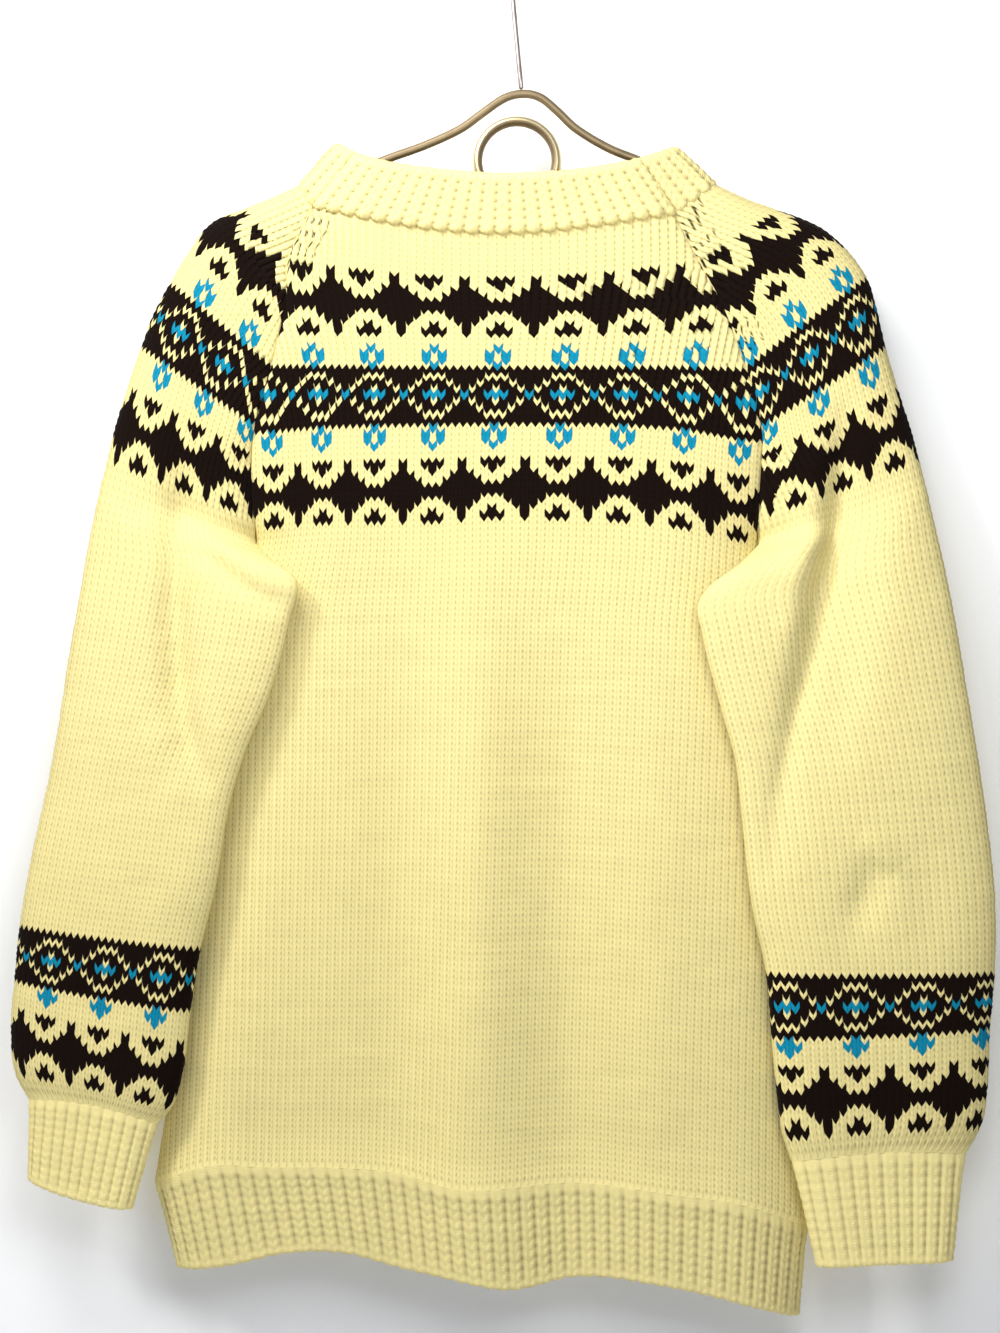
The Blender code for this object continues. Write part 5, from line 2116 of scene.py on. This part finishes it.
def tube(path: Array, across: float, deep: float, sides: int, closed: bool) -> tuple[Array, list]:
    """A bar with an oval section along a path in the XZ plane.

    Args:
        path: the bar's middle line.
        across: half its width in the plane.
        deep: half its width along Y.
        sides: how many faces go round it.
        closed: whether it is a ring; otherwise its ends are rounded.

    Returns:
        Its points and faces.
    """
    if closed:
        tangents = np.roll(path, -1, axis=0) - np.roll(path, 1, axis=0)
        sizes = np.ones(len(path))
    else:
        caps = []
        for end, before in ((path[0], path[1]), (path[-1], path[-2])):
            tip = end + (end - before) / np.linalg.norm(end - before) * across * CAP_LENGTH
            caps.append([tip + (end - tip) * step for step, _ in CAP_STEPS])
        ends = [size for _, size in CAP_STEPS]
        sizes = np.concatenate([ends, np.ones(len(path)), ends[::-1]])
        path = np.vstack([caps[0], path, caps[1][::-1]])
        tangents = np.gradient(path, axis=0)
    tangents /= np.linalg.norm(tangents, axis=1, keepdims=True)
    angles = 2 * math.pi * np.arange(sides) / sides
    deep_axis = [0.0, 1.0, 0.0]
    rings = []
    for point, tangent, size in zip(path, tangents, sizes):
        offset = np.outer(np.cos(angles) * across, np.cross(tangent, deep_axis))
        offset = offset + np.outer(np.sin(angles) * deep, deep_axis)
        rings.append(point + offset * size)
    count = len(rings)
    faces = []
    for i in range(count if closed else count - 1):
        for k in range(sides):
            j, after = (i + 1) % count, (k + 1) % sides
            faces.append((i * sides + k, j * sides + k, j * sides + after, i * sides + after))
    return np.concatenate(rings), faces


def metal_piece(
    name: str, shapes: Sequence[tuple[Array, list]], material: bpy.types.Material
) -> bpy.types.Object:
    """One object from several closed shapes, with its normals outward.

    Args:
        name: its name.
        shapes: the points and faces of each shape.
        material: its material.

    Returns:
        The object.
    """
    points, faces, offset = [], [], 0
    for shape_points, shape_faces in shapes:
        points.append(shape_points)
        faces += [tuple(index + offset for index in face) for face in shape_faces]
        offset += len(shape_points)
    made = mesh_object(name, np.concatenate(points), faces)
    builder = bmesh.new()
    builder.from_mesh(made.data)
    bmesh.ops.remove_doubles(builder, verts=builder.verts, dist=0.5 * WELD)
    bmesh.ops.holes_fill(builder, edges=[e for e in builder.edges if e.is_boundary], sides=0)
    bmesh.ops.recalc_face_normals(builder, faces=builder.faces)
    builder.to_mesh(made.data)
    builder.free()
    made.data.shade_smooth()
    made.data.materials.append(material)
    return made


@dataclass
class Hanger:
    """The contoured bar with its rail, the ring and the wire hook.

    gap keeps the pieces from sinking into each other. The ring's inner side is given the bar's
    darker bronze as painted shade, from a small inset within its middle line on. hook_turn gives
    the hook's first and last angle.
    """

    wardrobe: Wardrobe
    bar_radius: float = 2.75
    bar_sides: int = 20
    rail_ends: Pair = (-158.0, 144.5)
    rail_share: float = 0.92
    ring_x: float = -1.1
    ring_z: float = -155.3
    ring_radius: float = 25.7
    ring_section: float = 3.2
    ring_depth: float = 4.6
    ring_steps: int = 96
    ring_sides: int = 24
    painted_shade_inset: float = 0.4
    wire_radius: float = 1.7
    thin_sides: int = 16
    stem: tuple[Triple, ...] = ((-3.6, 0.0, -52.0), (-3.4, 0.0, -46.5))
    stem_foot_x: float = 1.6
    stem_foot_rise: float = 0.9
    hook_radius: float = 22.0
    hook_turn: Pair = (-66.0, 205.0)
    gap: float = 0.3

    def build(self) -> None:
        """Makes the three metal pieces."""
        self._bar()
        self._ring()
        self._hook()

    def _bar(self) -> None:
        """The bar and the straight rail."""
        path = smooth_path([(x, 0.0, z) for x, z in HANGER_BAR], 6)
        bar = tube(path, self.bar_radius, self.bar_radius, self.bar_sides, closed=False)
        z = self.ring_z - self.ring_radius - self.ring_section - self.gap - self.bar_radius
        left, right = self.rail_ends
        rail_path = np.linspace([left, 0.0, z], [right, 0.0, z], 12)
        radius = self.rail_share * self.bar_radius
        rail = tube(rail_path, radius, radius, self.thin_sides, closed=False)
        piece = metal_piece("hanger_bar", [bar, rail], self.wardrobe.of(BRONZE))
        declare(piece, ["hanger"])

    def _ring(self) -> None:
        """The ring, deeper than it is wide, with painted shade on its inner side."""
        turns = np.linspace(0, 2 * math.pi, self.ring_steps + 1)[:-1]
        x = self.ring_x + self.ring_radius * np.sin(turns)
        z = self.ring_z + self.ring_radius * np.cos(turns)
        path = np.column_stack([x, np.zeros(self.ring_steps), z])
        shape = tube(path, self.ring_section, self.ring_depth, self.ring_sides, closed=True)
        piece = metal_piece("hanger_ring_gold", [shape], self.wardrobe.of(GOLD))
        # The bronze on the inner side stands in for the shade inside the ring: painted shade.
        piece.data.materials.append(self.wardrobe.of(BRONZE))
        middle = Vector((self.ring_x, 0.0, self.ring_z)) * MM
        for face in piece.data.polygons:
            across = face.center - middle
            across.y = 0.0
            face.material_index = int(across.length < (self.ring_radius - self.painted_shade_inset) * MM)
        declare(piece, ["hanger_ring"])

    def _hook(self) -> None:
        """The wire's stem, bend and hook."""
        foot = max(z for _, z in HANGER_BAR) + self.bar_radius + self.gap
        route = [(self.stem_foot_x, 0.0, foot + self.stem_foot_rise), *self.stem]
        centre = -(self.hook_radius - self.wire_radius)
        for angle in np.radians(np.linspace(*self.hook_turn, 11)):
            x = self.hook_radius * math.cos(angle)
            route.append((x, 0.0, centre + self.hook_radius * math.sin(angle)))
        path = smooth_path(route, 8)
        shape = tube(path, self.wire_radius, self.wire_radius, self.thin_sides, closed=False)
        piece = metal_piece("hanger_hook_wire", [shape], self.wardrobe.of(STEEL))
        declare(piece, ["hanger_hook"])


# ---- studio ----


class Lamp(NamedTuple):
    """A soft area light, in metres and watts."""

    name: str
    place: Triple
    size: float
    power: float
    colour: Triple


PAINT = PlainFinish("door_paint", (0.90, 0.91, 0.93), 0.5)
LAMPS = [
    Lamp("top", (-0.32, -0.56, 0.3), 0.4, 7.0, (1.0, 0.985, 0.96)),
    Lamp("key", (-1.3, -1.1, 0.8), 0.35, 25.0, (1.0, 0.985, 0.96)),
    Lamp("fill", (0.13, -0.72, -0.24), 0.4, 3.7, (0.98, 0.99, 1.0)),
    Lamp("behind", (0.4, 1.6, 0.3), 1.4, 20.0, (1.0, 1.0, 1.0)),
]


@dataclass
class Studio:
    """The pale door behind, the floor, the soft lights and the camera.

    The door and the floor are in millimetres, the rest in metres.
    """

    wardrobe: Wardrobe
    door_y: float = 34.0
    door_half: float = 1500.0
    door_top: float = 900.0
    floor_z: float = -1300.0
    floor_half: float = 4000.0
    air: tuple[float, float, float, float] = (0.97, 0.98, 1.0, 1.0)
    air_strength: float = 0.26
    aim: Triple = (-0.012, -0.02, -0.484)
    camera_x: float = -0.01216
    distance: float = 1.25
    frame_height: float = 0.853

    def build(self) -> None:
        """Sets the stage."""
        self._backdrops()
        for lamp in LAMPS:
            self._light(lamp)
        world = bpy.data.worlds.new("soft_room")
        world.use_nodes = True
        background = world.node_tree.nodes["Background"]
        background.inputs["Color"].default_value = self.air
        background.inputs["Strength"].default_value = self.air_strength
        bpy.context.scene.world = world
        self._camera()
        bpy.context.scene.view_settings.view_transform = "Standard"

    def _backdrops(self) -> None:
        """The door, which casts no shade, and the floor."""
        wide, y, low, high = self.door_half, self.door_y, self.floor_z, self.door_top
        door_corners = [(-wide, y, low), (wide, y, low), (wide, y, high), (-wide, y, high)]
        far = self.floor_half
        floor_corners = [(-far, -far, low), (far, -far, low), (far, far, low), (-far, far, low)]
        door = mesh_object("door", np.array(door_corners), [(0, 1, 2, 3)])
        floor = mesh_object("floor", np.array(floor_corners), [(0, 1, 2, 3)])
        for backdrop in (door, floor):
            backdrop.data.materials.append(self.wardrobe.of(PAINT))
        door.visible_shadow = False
        door.visible_diffuse = False

    def _light(self, lamp: Lamp) -> None:
        """Adds a light aimed at the jumper.

        Args:
            lamp: its measures.
        """
        data = bpy.data.lights.new(lamp.name, "AREA")
        data.size = lamp.size
        data.energy = lamp.power
        data.color = lamp.colour
        light = add_object(lamp.name, data)
        light.location = lamp.place
        towards = Vector(self.aim) - Vector(lamp.place)
        light.rotation_euler = towards.to_track_quat("-Z", "Y").to_euler()

    def _camera(self) -> None:
        """The camera, square on to the jumper."""
        data = bpy.data.cameras.new("camera")
        data.sensor_fit = "VERTICAL"
        data.angle = 2 * math.atan(self.frame_height / 2 / self.distance)
        camera = add_object("camera", data)
        camera.location = (self.camera_x, self.aim[1] - self.distance, self.aim[2])
        camera.rotation_euler = (math.pi / 2, 0.0, 0.0)
        bpy.context.scene.camera = camera


# ---- main ----


def main() -> None:
    """Builds the jumper, its hanger and the studio in order."""
    logging.basicConfig(level=logging.INFO, format="%(name)s %(message)s")
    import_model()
    wardrobe = Wardrobe()
    knitter = Knitter(wardrobe)
    Studio(wardrobe).build()

    stretched_left = (Openwork(0.0, 10.0),)
    stretched_right = (Openwork(0.0, 10.0), Openwork(19.0, 23.0))
    panel = {"flat": (0.45, 0.64), "area": 0.24}
    front = BodyPanel(Side.FRONT, "front_knit", "front", **panel, openwork=stretched_left)
    back = BodyPanel(Side.BACK, "back_knit", "back", **panel)
    left = Sleeve(
        "sleeve_left_knit",
        "sleeve_left",
        SLEEVE_LEFT,
        RAGLAN_LEFT,
        end_rise=5.5,
        yoke_phase=6,
        cuff_phase=6,
        flat=(0.30, 0.6),
        area=0.17,
        creases=LEFT_FOLDS,
        cap_widths=((24, 4.9), (29, 4.5), (35, 4.15), (41, 4.1), (53, 4.1), (70, 4.9)),
    )
    right = Sleeve(
        "sleeve_right_knit",
        "sleeve_right",
        SLEEVE_RIGHT,
        RAGLAN_RIGHT,
        end_rise=4.5,
        yoke_phase=4,
        cuff_phase=1,
        flat=(0.3, 0.62),
        area=0.17,
        creases=RIGHT_FOLDS,
        openwork=stretched_right,
    )
    for piece in (front, back, left, right):
        piece.build(knitter)
    HemRib(front, "hem_rib_front_knit", "hem_rib_front").build(knitter)
    HemRib(back, "hem_rib_back_knit", "hem_rib_back").build(knitter)
    cuff_left = CuffEdge(-246.0, -829.0, -314.0, -811.0, -25.0, -21.0, 9.0, -2.5)
    cuff_right = CuffEdge(189.0, -865.5, 277.5, -863.0, -25.0, -21.0, 9.5, 1.0)
    Cuff(left, "cuff_left_knit", "cuff_left", cuff_left).build(knitter)
    Cuff(right, "cuff_right_knit", "cuff_right", cuff_right).build(knitter)
    Neckband(front, back, left, right).build(knitter)
    Hanger(wardrobe).build()


if __name__ == "__main__":
    main()
